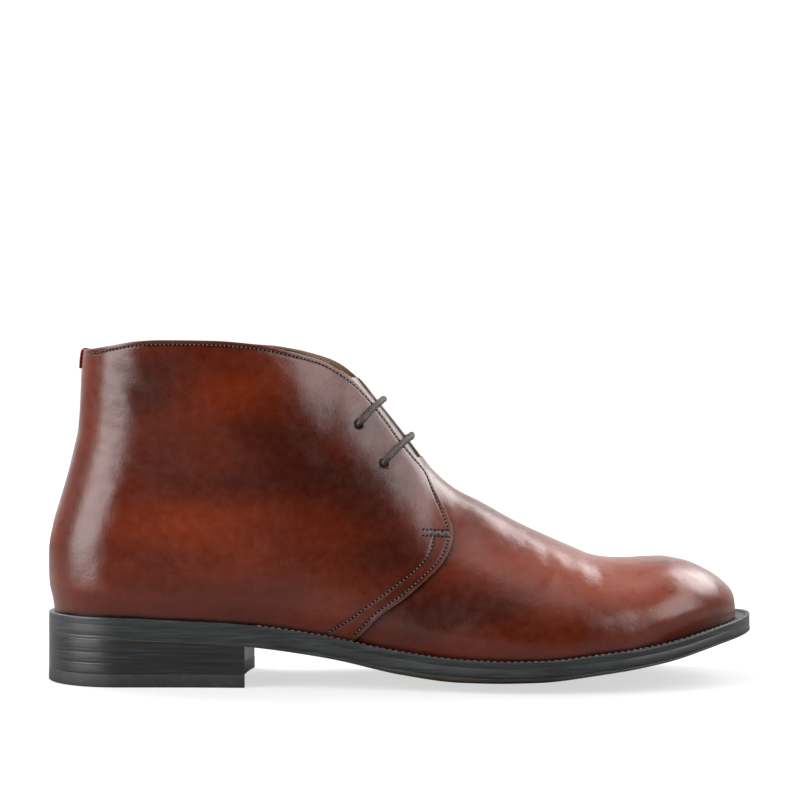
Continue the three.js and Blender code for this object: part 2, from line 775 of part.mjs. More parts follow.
function addPart(name, geometry, look) {
  const clean = geometry.index ? geometry : mergeVertices(geometry);
  clean.computeVertexNormals();
  const material = new THREE.MeshStandardMaterial({ ...look });
  const mesh = new THREE.Mesh(clean, material);
  mesh.name = name;
  group.add(mesh);
}

addPart('upper', fromManifold(upperSolid()), UPPER_LEATHER);
addPart('tongue', fromManifold(tongueSolid()), UPPER_LEATHER);
addPart('heel_tab', fromManifold(heelTabSolid()), UPPER_LEATHER);
addPart('insole', insoleGeometry(), LINING_LEATHER);
addPart('midsole', midsoleGeometry(), EDGE_LEATHER);
addPart('outsole', outsoleGeometry(), EDGE_LEATHER);
addPart('heel_lift_wedge', wedgeLiftGeometry(), EDGE_LEATHER);
addPart('heel_lift_upper', liftGeometry(2), EDGE_LEATHER);
addPart('heel_lift_lower', liftGeometry(1), EDGE_LEATHER);
addPart('top_lift', topLiftGeometry(), HEEL_RUBBER);
addPart('lace_bar_lower', laceBarGeometry(0), WAXED_CORD);
addPart('lace_bar_upper', laceBarGeometry(1), WAXED_CORD);

export default group;
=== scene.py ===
import bpy
import math
import numpy as np
from mathutils import Matrix, Vector


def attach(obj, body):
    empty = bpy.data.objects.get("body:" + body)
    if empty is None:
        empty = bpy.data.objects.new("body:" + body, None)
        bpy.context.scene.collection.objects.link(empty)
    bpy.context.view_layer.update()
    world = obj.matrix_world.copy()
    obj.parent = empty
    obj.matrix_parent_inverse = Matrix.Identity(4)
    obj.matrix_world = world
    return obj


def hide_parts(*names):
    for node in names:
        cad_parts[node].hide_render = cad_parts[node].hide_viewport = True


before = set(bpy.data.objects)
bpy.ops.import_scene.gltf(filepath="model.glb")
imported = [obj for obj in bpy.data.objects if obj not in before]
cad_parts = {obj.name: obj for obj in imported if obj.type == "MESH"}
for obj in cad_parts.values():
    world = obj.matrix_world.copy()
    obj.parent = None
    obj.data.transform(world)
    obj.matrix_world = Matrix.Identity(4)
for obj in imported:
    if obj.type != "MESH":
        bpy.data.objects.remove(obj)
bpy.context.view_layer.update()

# Chukka boot for a right foot, in metres. X runs from heel to toe, Z is up and the outer
# side of the foot is -Y. The last and the sole come from the sizes and shares of the model.

MM = 0.001

# Sizes of the boot
LENGTH = 304.4 * MM
BOOT_HEIGHT = 146 * MM
BALL_HALF_WIDTH = 54.5 * MM
HEEL_LENGTH = 87 * MM
HEEL_HEIGHT = 20.3 * MM
TOE_SPRING = 20.2 * MM
BALL_CROWN = 6 * MM
FLAT_SPOT_DEPTH = 0.6 * MM
CLEARANCE = 0.3 * MM
SEAT_CLEARANCE = 0.4 * MM
WALL = 1.8 * MM
QUARTER_STEP = 1.1 * MM
LEDGE_SIDE = 3.2 * MM
LEDGE_HEEL = 3.4 * MM
LEDGE_TOE = 6.2 * MM
HEEL_ROUNDING = 34 * MM
TOE_ROUNDING = 44 * MM
FEATHER_TOE_ROUNDING = 43 * MM
THROAT_HALF_WIDTH_LOW = 11 * MM
THROAT_HALF_WIDTH_HIGH = 7.5 * MM
HOLE_DIAMETER = 4 * MM
TONGUE_THICKNESS = 2 * MM
TONGUE_HALF_WIDTH = 24 * MM
TAB_WIDTH = 13 * MM
TAB_DROP = 8 * MM
MIDSOLE_THICKNESS = 2.7 * MM
OUTSOLE_THICKNESS = 6 * MM
INSOLE_THICKNESS = 3 * MM
TOP_LIFT_THICKNESS = 5.6 * MM
LIFT_THICKNESS = 4.5 * MM
BREAST_HOLLOW = 3 * MM
LACE_DIAMETER = 2.9 * MM

HEEL_BACK = -HEEL_LENGTH / 2
TOE_TIP = HEEL_BACK + LENGTH
BREAST = HEEL_BACK + HEEL_LENGTH
FEATHER_BACK = HEEL_BACK + LEDGE_HEEL
FEATHER_TIP = TOE_TIP - LEDGE_TOE
FEATHER_HEEL_ROUNDING = HEEL_ROUNDING - LEDGE_HEEL

# Sole from heel to toe: length share, heel pitch, toe spring, crown, outsole thickness shares.
SOLE_ROWS = (
    (0.0, 1.0, 0.0, 0.0, 1.0),
    (0.07, 1.0, 0.0, 0.0, 1.0),
    (0.18, 0.935, 0.0, 0.0, 1.0),
    (0.286, 0.85, 0.0, 0.0, 1.0),
    (0.392, 0.576, 0.0, 0.27, 0.98),
    (0.5, 0.172, 0.0, 0.73, 0.9),
    (0.586, 0.01, 0.0, 0.93, 0.8),
    (0.636, 0.0, 0.0, 0.97, 0.73),
    (0.69, 0.0, 0.015, 1.03, 0.68),
    (0.773, 0.0, 0.17, 0.87, 0.74),
    (0.857, 0.0, 0.4, 0.62, 0.75),
    (0.948, 0.0, 0.8, 0.36, 0.7),
    (1.0, 0.0, 1.0, 0.15, 0.76),
)

# Sole outline: length share, half width share, shift of the middle line share.
OUTLINE_ROWS = (
    (0.0, 0.624, 0.0),
    (0.143, 0.628, 0.0),
    (0.241, 0.61, -0.025),
    (0.356, 0.615, -0.055),
    (0.455, 0.67, -0.08),
    (0.553, 0.807, -0.075),
    (0.652, 0.954, -0.055),
    (0.734, 1.0, -0.02),
    (0.8, 0.972, 0.01),
    (0.866, 0.86, 0.04),
    (0.931, 0.8, 0.065),
    (1.0, 0.76, 0.08),
)

# Last half widths: length share, then the share at each of the heights.
WIDTH_HEIGHTS = (0.082, 0.205, 0.41, 0.615, 0.855)
WIDTH_ROWS = (
    (0.0, 0.596, 0.58, 0.532, 0.556, 0.596),
    (0.126, 0.605, 0.596, 0.56, 0.578, 0.62),
    (0.241, 0.6, 0.606, 0.604, 0.624, 0.65),
    (0.356, 0.618, 0.65, 0.668, 0.668, 0.664),
    (0.455, 0.68, 0.712, 0.722, 0.69, 0.66),
    (0.553, 0.806, 0.81, 0.78, 0.73, 0.69),
    (0.652, 0.93, 0.914, 0.844, 0.77, 0.73),
    (0.75, 0.962, 0.945, 0.862, 0.77, 0.73),
    (0.849, 0.865, 0.85, 0.79, 0.75, 0.73),
    (1.0, 0.71, 0.7, 0.69, 0.69, 0.69),
)

# Back curve of the upper: height share, reach in front of the feather line's back end.
BACK_ROWS = (
    (0.205, 0.0),
    (0.24, -0.0025),
    (0.289, -0.0073),
    (0.336, -0.0085),
    (0.384, -0.0085),
    (0.455, -0.0032),
    (0.527, 0.0069),
    (0.599, 0.0171),
    (0.67, 0.0256),
    (0.742, 0.0329),
    (0.813, 0.0355),
    (0.883, 0.0371),
    (0.94, 0.0385),
    (0.985, 0.0414),
    (1.12, 0.051),
)

# Crest of the upper from the collar to the toe: length share, height share, arch exponent.
CREST_ROWS = (
    (0.0, 2.9, 2.5),
    (0.2, 1.95, 2.4),
    (0.3, 1.43, 2.1),
    (0.365, 1.142, 1.9),
    (0.395, 1.029, 1.8),
    (0.426, 0.949, 1.75),
    (0.46, 0.856, 1.75),
    (0.486, 0.789, 1.75),
    (0.52, 0.695, 1.75),
    (0.546, 0.62, 1.75),
    (0.58, 0.56, 1.8),
    (0.614, 0.524, 1.8),
    (0.665, 0.465, 1.85),
    (0.717, 0.415, 1.95),
    (0.752, 0.3836, 2.1),
    (0.7685, 0.369, 2.15),
    (0.786, 0.3603, 2.2),
    (0.803, 0.3568, 2.3),
    (0.82, 0.3562, 2.35),
    (0.843, 0.3585, 2.4),
    (0.871, 0.3605, 2.5),
    (0.906, 0.349, 2.6),
    (0.94, 0.3185, 2.6),
    (0.957, 0.2945, 2.6),
    (0.9655, 0.279, 2.6),
    (0.9745, 0.2565, 2.6),
    (0.9783, 0.229, 2.6),
    (0.98, 0.18, 2.6),
)

# Rings round the last: height share at the back curve, length share at the crest.
RING_ROWS = (
    (0.205, 0.98),
    (0.226, 0.979),
    (0.24, 0.974),
    (0.254, 0.963),
    (0.268, 0.943),
    (0.282, 0.915),
    (0.299, 0.879),
    (0.319, 0.836),
    (0.343, 0.79),
    (0.377, 0.741),
    (0.418, 0.688),
    (0.466, 0.637),
    (0.521, 0.591),
    (0.582, 0.552),
    (0.651, 0.519),
    (0.726, 0.49),
    (0.808, 0.464),
    (0.897, 0.438),
    (1.0, 0.41),
    (1.1, 0.38),
)

# Collar line: length share, height share at the inner side, at the outer side.
COLLAR_ROWS = (
    (-0.1, 0.974, 0.974),
    (0.062, 0.974, 0.974),
    (0.1, 0.984, 0.984),
    (0.134, 0.995, 0.996),
    (0.168, 0.998, 1.0),
    (0.237, 0.997, 0.998),
    (0.306, 0.99, 0.985),
    (0.34, 0.979, 0.969),
    (0.374, 0.961, 0.95),
    (0.405, 0.937, 0.924),
    (0.44, 0.885, 0.875),
)

# Front edge of the quarters below the throat, from the feather up: length and height share.
QUARTER_ROWS = (
    (0.433, 0.13),
    (0.453, 0.171),
    (0.473, 0.212),
    (0.505, 0.258),
    (0.536, 0.313),
    (0.558, 0.3575),
    (0.569, 0.3985),
    (0.573, 0.434),
    (0.57, 0.465),
    (0.56, 0.509),
    (0.549, 0.555),
    (0.5395, 0.6),
)

# Lace holes: length share, height share.
HOLE_ROWS = ((0.4765, 0.64), (0.441, 0.752))


def hermite(keys, values, key):
    """Smooth curve through a table, held level beyond its ends. Values have one row per key."""
    keys = np.asarray(keys, float)
    key = np.clip(np.atleast_1d(np.asarray(key, float)), keys[0], keys[-1])
    values = np.asarray(values, float)
    if values.ndim == 1:
        values = values.reshape(-1, *[1] * key.ndim)
    values = np.broadcast_to(values, (len(keys),) + key.shape)
    slopes = np.diff(values, axis=0) / np.diff(keys).reshape(-1, *[1] * key.ndim)
    product = slopes[:-1] * slopes[1:]
    total = np.where(product > 0, slopes[:-1] + slopes[1:], 1)
    inner = np.where(product > 0, 2 * product / total, 0)
    tangents = np.concatenate([slopes[:1], inner, slopes[-1:]])
    i = np.clip(np.searchsorted(keys, key, side="right") - 1, 0, len(keys) - 2)

    def pick(table, row):
        return np.take_along_axis(table, row[None], 0)[0]

    span = keys[i + 1] - keys[i]
    t = (key - keys[i]) / span
    low, high = pick(values, i), pick(values, i + 1)
    start = t * (1 - t) ** 2 * span * pick(tangents, i)
    end = t * t * (t - 1) * span * pick(tangents, i + 1)
    return low + (high - low) * t * t * (3 - 2 * t) + start + end


def column_curve(rows, column):
    keys = [row[0] for row in rows]
    values = [row[column] for row in rows]
    return lambda key: hermite(keys, values, key)


def smooth_step(value):
    t = np.clip(value, 0, 1)
    return t * t * (3 - 2 * t)


def bell(distance, width):
    return np.exp(-((distance / width) ** 2))


def length_share(x):
    return (np.asarray(x, float) - HEEL_BACK) / LENGTH


def at_length(share):
    return HEEL_BACK + share * LENGTH


def at_height(share):
    return share * BOOT_HEIGHT


def side_view(rows):
    """Points x, z from rows of length share and height share."""
    return np.array([(at_length(a), at_height(b)) for a, b in rows])


pitch_curve = column_curve(SOLE_ROWS, 1)
spring_curve = column_curve(SOLE_ROWS, 2)
crown_curve = column_curve(SOLE_ROWS, 3)
thickness_curve = column_curve(SOLE_ROWS, 4)
outline_width_curve = column_curve(OUTLINE_ROWS, 1)
outline_shift_curve = column_curve(OUTLINE_ROWS, 2)
back_curve = column_curve(BACK_ROWS, 1)
crest_curve = column_curve(CREST_ROWS, 1)
arch_curve = column_curve(CREST_ROWS, 2)
width_curves = [column_curve(WIDTH_ROWS, 1 + i) for i in range(len(WIDTH_HEIGHTS))]


def rounded_end(distance, length):
    """Quarter of a circle stretched over the length: 0 at its end, 1 beyond it."""
    left = 1 - np.clip(distance / length, 0, 1)
    return np.sqrt(1 - left * left)


def outline_core(x):
    return outline_width_curve(length_share(x)) * BALL_HALF_WIDTH


def outline_middle(x):
    return outline_shift_curve(length_share(x)) * BALL_HALF_WIDTH


def sole_half_width(x):
    ends = rounded_end(x - HEEL_BACK, HEEL_ROUNDING) * rounded_end(TOE_TIP - x, TOE_ROUNDING)
    return outline_core(x) * ends


def sole_underside(x, y):
    share = length_share(x)
    middle = pitch_curve(share) * HEEL_HEIGHT + spring_curve(share) * TOE_SPRING
    half = np.maximum(sole_half_width(x), 1 * MM)
    across = np.clip((y - outline_middle(x)) / half, -1, 1)
    return middle + crown_curve(share) * BALL_CROWN * across * across


def outsole_bottom(x, y):
    dip = FLAT_SPOT_DEPTH * crown_curve(length_share(x))
    return np.maximum(0, sole_underside(x, y) - dip)


def outsole_top(x, y):
    return sole_underside(x, y) + thickness_curve(length_share(x)) * OUTSOLE_THICKNESS


def midsole_bottom(x, y):
    return outsole_top(x, y) + SEAT_CLEARANCE


def midsole_top(x, y):
    return midsole_bottom(x, y) + MIDSOLE_THICKNESS


def insole_top(x, y):
    return midsole_top(x, y) + SEAT_CLEARANCE + INSOLE_THICKNESS


# Length share where the ledge starts to widen towards the toe, and over which it does.
LEDGE_WIDENS = (0.8, 0.18)


def ledge(x):
    start, run = LEDGE_WIDENS
    forward = smooth_step((length_share(x) - start) / run)
    return LEDGE_SIDE + (LEDGE_TOE - LEDGE_SIDE) * forward


def feather_half_width(x):
    heel = rounded_end(x - FEATHER_BACK, FEATHER_HEEL_ROUNDING)
    toe = rounded_end(FEATHER_TIP - x, FEATHER_TOE_ROUNDING)
    return (outline_core(x) - ledge(x)) * heel * toe


def feather_height(x, side):
    y = outline_middle(x) + side * feather_half_width(x)
    return midsole_top(x, y) + SEAT_CLEARANCE


def last_half_width(x, height):
    share = length_share(x)
    rows = [outline_core(x) - ledge(x)] + [curve(share) * BALL_HALF_WIDTH for curve in width_curves]
    rows = np.broadcast_arrays(*rows, np.atleast_1d(height))[:-1]
    return hermite((0,) + WIDTH_HEIGHTS, np.array(rows), height / BOOT_HEIGHT)


def back_reach(z):
    return FEATHER_BACK + back_curve(z / BOOT_HEIGHT) * LENGTH


def crest_height(x):
    return crest_curve(length_share(x)) * BOOT_HEIGHT


# Height share above the feather line where the last is centred again.
CENTRED_HEIGHT = 0.45


def last_side(x, z, side):
    """Y of the last's surface over the side view point x, z."""
    x, z, side = np.broadcast_arrays(*[np.atleast_1d(np.asarray(v, float)) for v in (x, z, side)])
    foot = feather_height(x, side)
    height = np.maximum(0, z - foot)
    rise = np.clip(height / np.maximum(crest_height(x) - foot, 1 * MM), 0, 1)
    arch = np.sqrt(1 - rise ** arch_curve(length_share(x)))
    back = rounded_end(x - back_reach(np.maximum(z, foot)), FEATHER_HEEL_ROUNDING)
    toe = rounded_end(FEATHER_TIP - x, FEATHER_TOE_ROUNDING)
    shift = outline_middle(x) * (1 - smooth_step(height / at_height(CENTRED_HEIGHT)))
    return shift + side * last_half_width(x, height) * arch * back * toe


def on_last(x, z, side):
    x, z, side = np.broadcast_arrays(*[np.atleast_1d(np.asarray(v, float)) for v in (x, z, side)])
    return np.stack([x, last_side(x, z, side), z], axis=-1)


def surface_normal(x, z, side):
    step = 1 * MM
    dx = (last_side(x + step, z, side) - last_side(x - step, z, side)) / (2 * step)
    dz = (last_side(x, z + step, side) - last_side(x, z - step, side)) / (2 * step)
    normal = np.stack([-dx * side, np.ones_like(dx) * side, -dz * side], axis=-1)
    return normal / np.linalg.norm(normal, axis=-1, keepdims=True)


# Grids of points and their normals


def grid_normals(points, outward):
    """Unit normals of a grid of points, on the side of the outward directions."""
    along = np.gradient(points, axis=1)
    up = np.gradient(points, axis=0)
    normal = np.cross(along, up)
    size = np.linalg.norm(normal, axis=-1, keepdims=True)
    normal = normal / np.maximum(size, 1e-15)
    if np.sum(normal * outward) < 0:
        normal = -normal
    return normal


def graded(fine_end, fine, coarse, length):
    """Shares from 0 to 1 over a length, with fine steps over its last stretch."""
    steps = []
    place = 0.0
    while place < length:
        near_end = length - place <= fine_end
        steps.append(place)
        place += fine if near_end else min(coarse, max(fine, length - fine_end - place))
    if length - steps[-1] < fine / 2:
        steps.pop()
    steps.append(length)
    return np.array(steps) / length


def resampled(line, shares):
    """Points at the given shares of a polyline's length."""
    line = np.asarray(line, float)
    steps = np.linalg.norm(np.diff(line, axis=0), axis=1)
    reach = np.concatenate([[0], np.cumsum(steps)])
    where = np.asarray(shares) * reach[-1]
    return np.stack([np.interp(where, reach, line[:, k]) for k in range(line.shape[1])], axis=-1)


def rounded_line(points, per_span=12):
    """Centripetal curve through hand placed points."""
    points = np.asarray(points, float)
    if len(points) < 3:
        return resampled(points, np.linspace(0, 1, per_span + 1))
    steps = np.linalg.norm(np.diff(points, axis=0), axis=1) ** 0.5
    keys = np.concatenate([[0], np.cumsum(steps)])
    keys = keys / keys[-1]
    tangents = np.gradient(points, keys, axis=0)
    line = []
    for i in range(len(points) - 1):
        span = keys[i + 1] - keys[i]
        t = np.linspace(0, 1, per_span, endpoint=False)[:, None]
        h00, h10 = 2 * t**3 - 3 * t**2 + 1, t**3 - 2 * t**2 + t
        h01, h11 = 3 * t**2 - 2 * t**3, t**3 - t**2
        start = h00 * points[i] + h10 * span * tangents[i]
        line.append(start + h01 * points[i + 1] + h11 * span * tangents[i + 1])
    line.append(points[-1:])
    return np.concatenate(line)


def distance_to(points, line, reach):
    """Distance of each point to a polyline, up to a reach, and the share along it."""
    flat = points.reshape(-1, 3)
    best = np.full(len(flat), reach * 2)
    share = np.zeros(len(flat))
    low, high = line.min(axis=0) - reach, line.max(axis=0) + reach
    near = np.nonzero(np.all((flat > low) & (flat < high), axis=1))[0]
    total = len(line) - 1
    for i in range(total):
        a, b = line[i], line[i + 1]
        size = max(float(np.dot(b - a, b - a)), 1e-18)
        t = np.clip((flat[near] - a) @ (b - a) / size, 0, 1)
        gap = np.linalg.norm(flat[near] - a - t[:, None] * (b - a), axis=1)
        closer = gap < best[near]
        best[near[closer]] = gap[closer]
        share[near[closer]] = (i + t[closer]) / total
    return best.reshape(points.shape[:-1]), share.reshape(points.shape[:-1])


# Blender helpers


def deselect():
    bpy.ops.object.select_all(action="DESELECT")


def select_only(piece):
    deselect()
    piece.select_set(True)
    bpy.context.view_layer.objects.active = piece


def named(name):
    piece = bpy.context.object
    piece.name = name
    piece.data.name = name
    return piece


def apply_all(piece):
    select_only(piece)
    for modifier in list(piece.modifiers):
        bpy.ops.object.modifier_apply(modifier=modifier.name)


def read(items, key):
    """A vector of each vertex or face, as a table with three columns."""
    flat = np.empty(len(items) * 3)
    items.foreach_get(key, flat)
    return flat.reshape(-1, 3)


def built(name, vertices, faces, distance):
    """Piece from vertices and faces, with doubled vertices joined and every face outwards."""
    mesh = bpy.data.meshes.new(name)
    mesh.from_pydata(vertices, [], faces)
    piece = bpy.data.objects.new(name, mesh)
    bpy.context.collection.objects.link(piece)
    select_only(piece)
    bpy.ops.object.mode_set(mode="EDIT")
    bpy.ops.mesh.select_all(action="SELECT")
    bpy.ops.mesh.remove_doubles(threshold=distance)
    bpy.ops.mesh.normals_make_consistent(inside=False)
    bpy.ops.object.mode_set(mode="OBJECT")
    return piece


def grid_sheet(name, points, outward):
    """Grid primitive laid over a table of points, facing the outward direction."""
    rows, columns = points.shape[:2]
    deselect()
    bpy.ops.mesh.primitive_grid_add(x_subdivisions=columns - 1, y_subdivisions=rows - 1, size=2)
    piece = named(name)
    flat = read(piece.data.vertices, "co")
    row = np.rint((flat[:, 1] + 1) / 2 * (rows - 1)).astype(int)
    column = np.rint((flat[:, 0] + 1) / 2 * (columns - 1)).astype(int)
    piece.data.vertices.foreach_set("co", np.ascontiguousarray(points[row, column]).ravel())
    piece.data.update()
    facing = read(piece.data.polygons, "normal")
    middle = read(piece.data.polygons, "center")
    if np.sum(facing * outward(middle)) < 0:
        select_only(piece)
        bpy.ops.object.mode_set(mode="EDIT")
        bpy.ops.mesh.select_all(action="SELECT")
        bpy.ops.mesh.flip_normals()
        bpy.ops.object.mode_set(mode="OBJECT")
    return piece


# Turn between two faces from which an edge of the leather is rounded.
RIM_ANGLE = 55


def leather_body(piece, thickness, rim):
    """Gives a sheet its wall, which grows inwards, and rounds the rim of the cut leather."""
    wall = piece.modifiers.new("wall", "SOLIDIFY")
    wall.thickness = thickness
    wall.offset = -1
    edge = piece.modifiers.new("rim", "BEVEL")
    edge.width = rim
    edge.segments = 2
    edge.limit_method = "ANGLE"
    edge.angle_limit = math.radians(RIM_ANGLE)
    apply_all(piece)
    smooth(piece)


def smooth(piece, angle=None):
    select_only(piece)
    if angle is None:
        bpy.ops.object.shade_smooth()
    else:
        bpy.ops.object.shade_smooth_by_angle(angle=math.radians(angle))


def paint(piece, name, values):
    """Keeps a number for each vertex, or one for all, that the piece's material reads."""
    values = np.broadcast_to(values, len(piece.data.vertices))
    attribute = piece.data.attributes.new(name, "FLOAT", "POINT")
    attribute.data.foreach_set("value", np.ascontiguousarray(values, dtype=np.float32))


def joined(name, pieces):
    deselect()
    for piece in pieces:
        piece.select_set(True)
    bpy.context.view_layer.objects.active = pieces[0]
    bpy.ops.object.join()
    return named(name)


def belongs(piece, slot, *nodes):
    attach(piece, "root")
    if nodes:
        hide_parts(*nodes)


# Lines of the upper


def collar_height(x, side):
    column = 1 if side > 0 else 2
    return column_curve(COLLAR_ROWS, column)(length_share(x)) * BOOT_HEIGHT


# Edge of the outer facing, which lies lower than the inner one: length and height share.
OUTER_FACING = (
    (0.39, 0.956),
    (0.405, 0.93),
    (0.4215, 0.9),
    (0.4428, 0.858),
    (0.4786, 0.768),
    (0.5, 0.705),
    (0.5286, 0.632),
    (0.54, 0.605),
)


# Length shares of the throat's foot and of its upper end.
THROAT_FOOT = 0.536
THROAT_HEAD = 0.39


def facing_line(side):
    """Edge of the throat from its foot up past the collar: the outer one from its table, the
    inner one a throat half width off the crest."""
    x = np.linspace(at_length(THROAT_FOOT), at_length(THROAT_HEAD), 60)
    if side < 0:
        return np.stack([x, column_curve(OUTER_FACING, 1)(length_share(x)) * BOOT_HEIGHT], axis=-1)
    share = (x[0] - x) / (x[0] - x[-1])
    half = THROAT_HALF_WIDTH_LOW + (THROAT_HALF_WIDTH_HIGH - THROAT_HALF_WIDTH_LOW) * share
    low, high = crest_height(x) * 0.6, crest_height(x)
    for _ in range(40):
        middle = (low + high) / 2
        outside = np.abs(last_side(x, middle, side)) > half
        low, high = np.where(outside, middle, low), np.where(outside, high, middle)
    return np.stack([x, low], axis=-1)


CORNER_ROUNDING = 7 * MM


def corner_line(side):
    """Side view lines of the collar's front end, the rounded corner, and the facing below it."""
    facing = facing_line(side)
    gap = facing[:, 1] - collar_height(facing[:, 0], side)
    meets = int(np.argmax(gap > 0))
    corner = facing[meets]
    start = corner[0] - CORNER_ROUNDING
    top_x = np.linspace(start - 20 * MM, start, 30)
    top = np.stack([top_x, collar_height(top_x, side)], axis=-1)
    below = facing[facing[:, 1] < corner[1] - 0.75 * CORNER_ROUNDING]
    t = np.linspace(0, 1, 24)[1:-1, None]
    a, b = top[-1], below[-1]
    arc = (1 - t) ** 2 * a + 2 * t * (1 - t) * corner + t * t * b
    return top, arc, below[::-1]


def evened(line, reach, low, high):
    """Rounds a line off over a reach, only between two heights, after spacing it evenly."""
    count = 240
    line = resampled(line, np.linspace(0, 1, count))
    step = np.linalg.norm(np.diff(line, axis=0), axis=1).mean()
    half = max(1, int(reach / step))
    padded = np.concatenate([np.repeat(line[:1], half, 0), line, np.repeat(line[-1:], half, 0)])
    weights = np.hanning(2 * half + 3)[1:-1]
    weights /= weights.sum()
    soft = np.stack([np.convolve(padded[:, k], weights, "valid") for k in range(2)], axis=-1)
    share = smooth_step((line[:, 1:] - low) / (4 * MM)) * smooth_step((high - line[:, 1:]) / (4 * MM))
    return line + (soft - line) * share


# The facings are evened over a reach, between two height shares.
FACING_EVENING = 7 * MM
FACING_SPAN = (0.5, 0.82)

# Height share below which the lining is tucked back, and over which that comes in.
TUCK_TOP = 0.6
TUCK_FADE = 0.05

# Height share of the collar at the back seam.
COLLAR_BACK = 0.974


def quarter_edges(side, tuck=0.0):
    """Top line from the back to the corner's middle, and front edge from the feather to it.
    A tuck moves the edge back where it lies on the vamp, as the lining's does."""
    top, arc, facing = corner_line(side)
    half = len(arc) // 2
    front = rounded_line(side_view(QUARTER_ROWS), 8)
    first = int(np.argmax(front[:, 1] > feather_height(front[:, 0], side)))
    foot_x = front[first, 0]
    foot = np.array([[foot_x, float(feather_height(foot_x, side)[0])]])
    front = np.concatenate([foot, front[first + 1:]])
    facing = facing[::-1]
    facing = facing[facing[:, 1] > front[-1, 1] + 1.5 * MM]
    front = np.concatenate([front, facing, arc[half:][::-1]])
    front = evened(front, FACING_EVENING, *[at_height(share) for share in FACING_SPAN])
    front[:, 0] -= tuck * smooth_step((at_height(TUCK_TOP) - front[:, 1]) / at_height(TUCK_FADE))
    back_z = float(collar_height(back_reach(at_height(COLLAR_BACK)), side)[0])
    back_x = float(back_reach(np.array([back_z]))[0])
    lead_x = np.linspace(back_x, top[0, 0], 60)[:-1]
    lead = np.stack([lead_x, collar_height(lead_x, side)], axis=-1)
    return np.concatenate([lead, top, arc[:half]]), front


def quarter_patch(side, across, up, tuck=0.0):
    """Side view grid of a quarter: columns from the back seam, rows from the feather line."""
    top_line, front_line = quarter_edges(side, tuck)
    w = 1 - np.cos(across * math.pi / 2)
    share = w[None, :]
    right = resampled(front_line, up)
    left_low = float(feather_height(FEATHER_BACK, side)[0])
    left_z = left_low + (top_line[0, 1] - left_low) * up
    span = right[:, 0] - back_reach(right[:, 1])
    bottom_x = FEATHER_BACK + w * (right[0, 0] - FEATHER_BACK)
    for _ in range(4):
        bottom_z = feather_height(bottom_x, side)
        bottom_x = back_reach(bottom_z) + w * span[0]
    top_x = back_reach(np.full_like(w, top_line[0, 1])) + w * span[-1]
    for _ in range(4):
        top_z = np.interp(top_x, top_line[:, 0], top_line[:, 1])
        top_x = back_reach(top_z) + w * span[-1]
    v = up[:, None]
    edges = (1 - share) * left_z[:, None] + share * right[:, 1:2]
    ends = (1 - v) * bottom_z[None, :] + v * top_z[None, :]
    corners = (1 - share) * ((1 - v) * bottom_z[0] + v * top_z[0])
    corners = corners + share * ((1 - v) * right[0, 1] + v * right[-1, 1])
    z = edges + ends - corners
    x = back_reach(z) + share * span[:, None]
    return x, z


def quarter_points(side, offset, across, up, tuck=0.0):
    x, z = quarter_patch(side, across, up, tuck)
    points = on_last(x, z, side)
    normals = grid_normals(points, np.array([0, side, 0]))
    normals[:, 0] = normals[:, 1]
    normals[:, 0, 1] = 0
    normals[:, 0] /= np.linalg.norm(normals[:, 0], axis=-1, keepdims=True)
    return points + normals * offset, normals


# How fast the bend of the feather line dies out over the rings.
FEATHER_FADE = 2.2


def ring_points(v, t, side):
    """Points of the rings round the last: v from the feather line up, t from back to crest."""
    last = len(RING_ROWS) - 1
    index = np.arange(last + 1)
    back_rows = [row[0] for row in RING_ROWS]
    front_rows = [row[1] for row in RING_ROWS]
    start = float(feather_height(FEATHER_BACK, side)[0])
    back_rows[0] = start / BOOT_HEIGHT
    back_z = hermite(index, back_rows, v * last) * BOOT_HEIGHT
    front_x = at_length(hermite(index, front_rows, v * last))
    tip = float(feather_height(FEATHER_TIP, side)[0])
    front_x = np.minimum(front_x, FEATHER_TIP)
    front_z = np.maximum(crest_height(front_x), tip)
    back_x = np.where(v <= 0, FEATHER_BACK, back_reach(back_z))
    x = back_x + (front_x - back_x) * t
    feather_x = FEATHER_BACK + (FEATHER_TIP - FEATHER_BACK) * t
    straight = start + (tip - start) * t
    sag = (feather_height(feather_x, side) - straight) * (1 - v) ** FEATHER_FADE
    z = back_z + (front_z - back_z) * t + sag
    z = np.where(v <= 0, feather_height(x, side), z)
    return on_last(x, z, side)


def ring_sheet(v, start, count, offset):
    """Grid over both sides of the last, from the outer side over the crest to the inner side."""
    rows = []
    for side in (-1, 1):
        along = np.linspace(0, 1, count)[None, :]
        first = start(v, side)[:, None]
        angle = first + (1 - first) * along
        t = (1 - np.cos(math.pi * angle)) / 2
        rows.append(ring_points(np.broadcast_to(v[:, None], t.shape), t, side))
    outer, inner = rows
    points = np.concatenate([outer, inner[:, ::-1][:, 1:]], axis=1)
    normals = grid_normals(points, np.array([0, 0, 1]))
    return points + normals * offset, normals


def insets(line, side, distance, offset):
    """Side view line moved inwards over the surface by a distance, as points in space."""
    points = on_last(line[:, 0], line[:, 1], side)
    normals = surface_normal(line[:, 0], line[:, 1], side)
    along = np.gradient(points, axis=0)
    along /= np.maximum(np.linalg.norm(along, axis=1, keepdims=True), 1e-12)
    inward = np.cross(normals, along)
    moved = points + inward * distance
    z = np.minimum(moved[:, 2], crest_height(moved[:, 0]) - 0.5 * MM)
    placed = on_last(moved[:, 0], z, side)
    return placed + surface_normal(moved[:, 0], z, side) * offset


# Rows of stitches: their size, how far they run off the edge and between which shares of its
# length, and the groove that they pull into the leather.
STITCH_PITCH = 1.8 * MM
STITCH_LENGTH = 1.0 * MM
STITCH_RADIUS = 0.32 * MM
EDGE_ROW = 1.9 * MM
EDGE_ROW_SPAN = (0.012, 0.985)
GROOVE_DEPTH = 0.22 * MM
GROOVE_WIDTH = 0.6 * MM

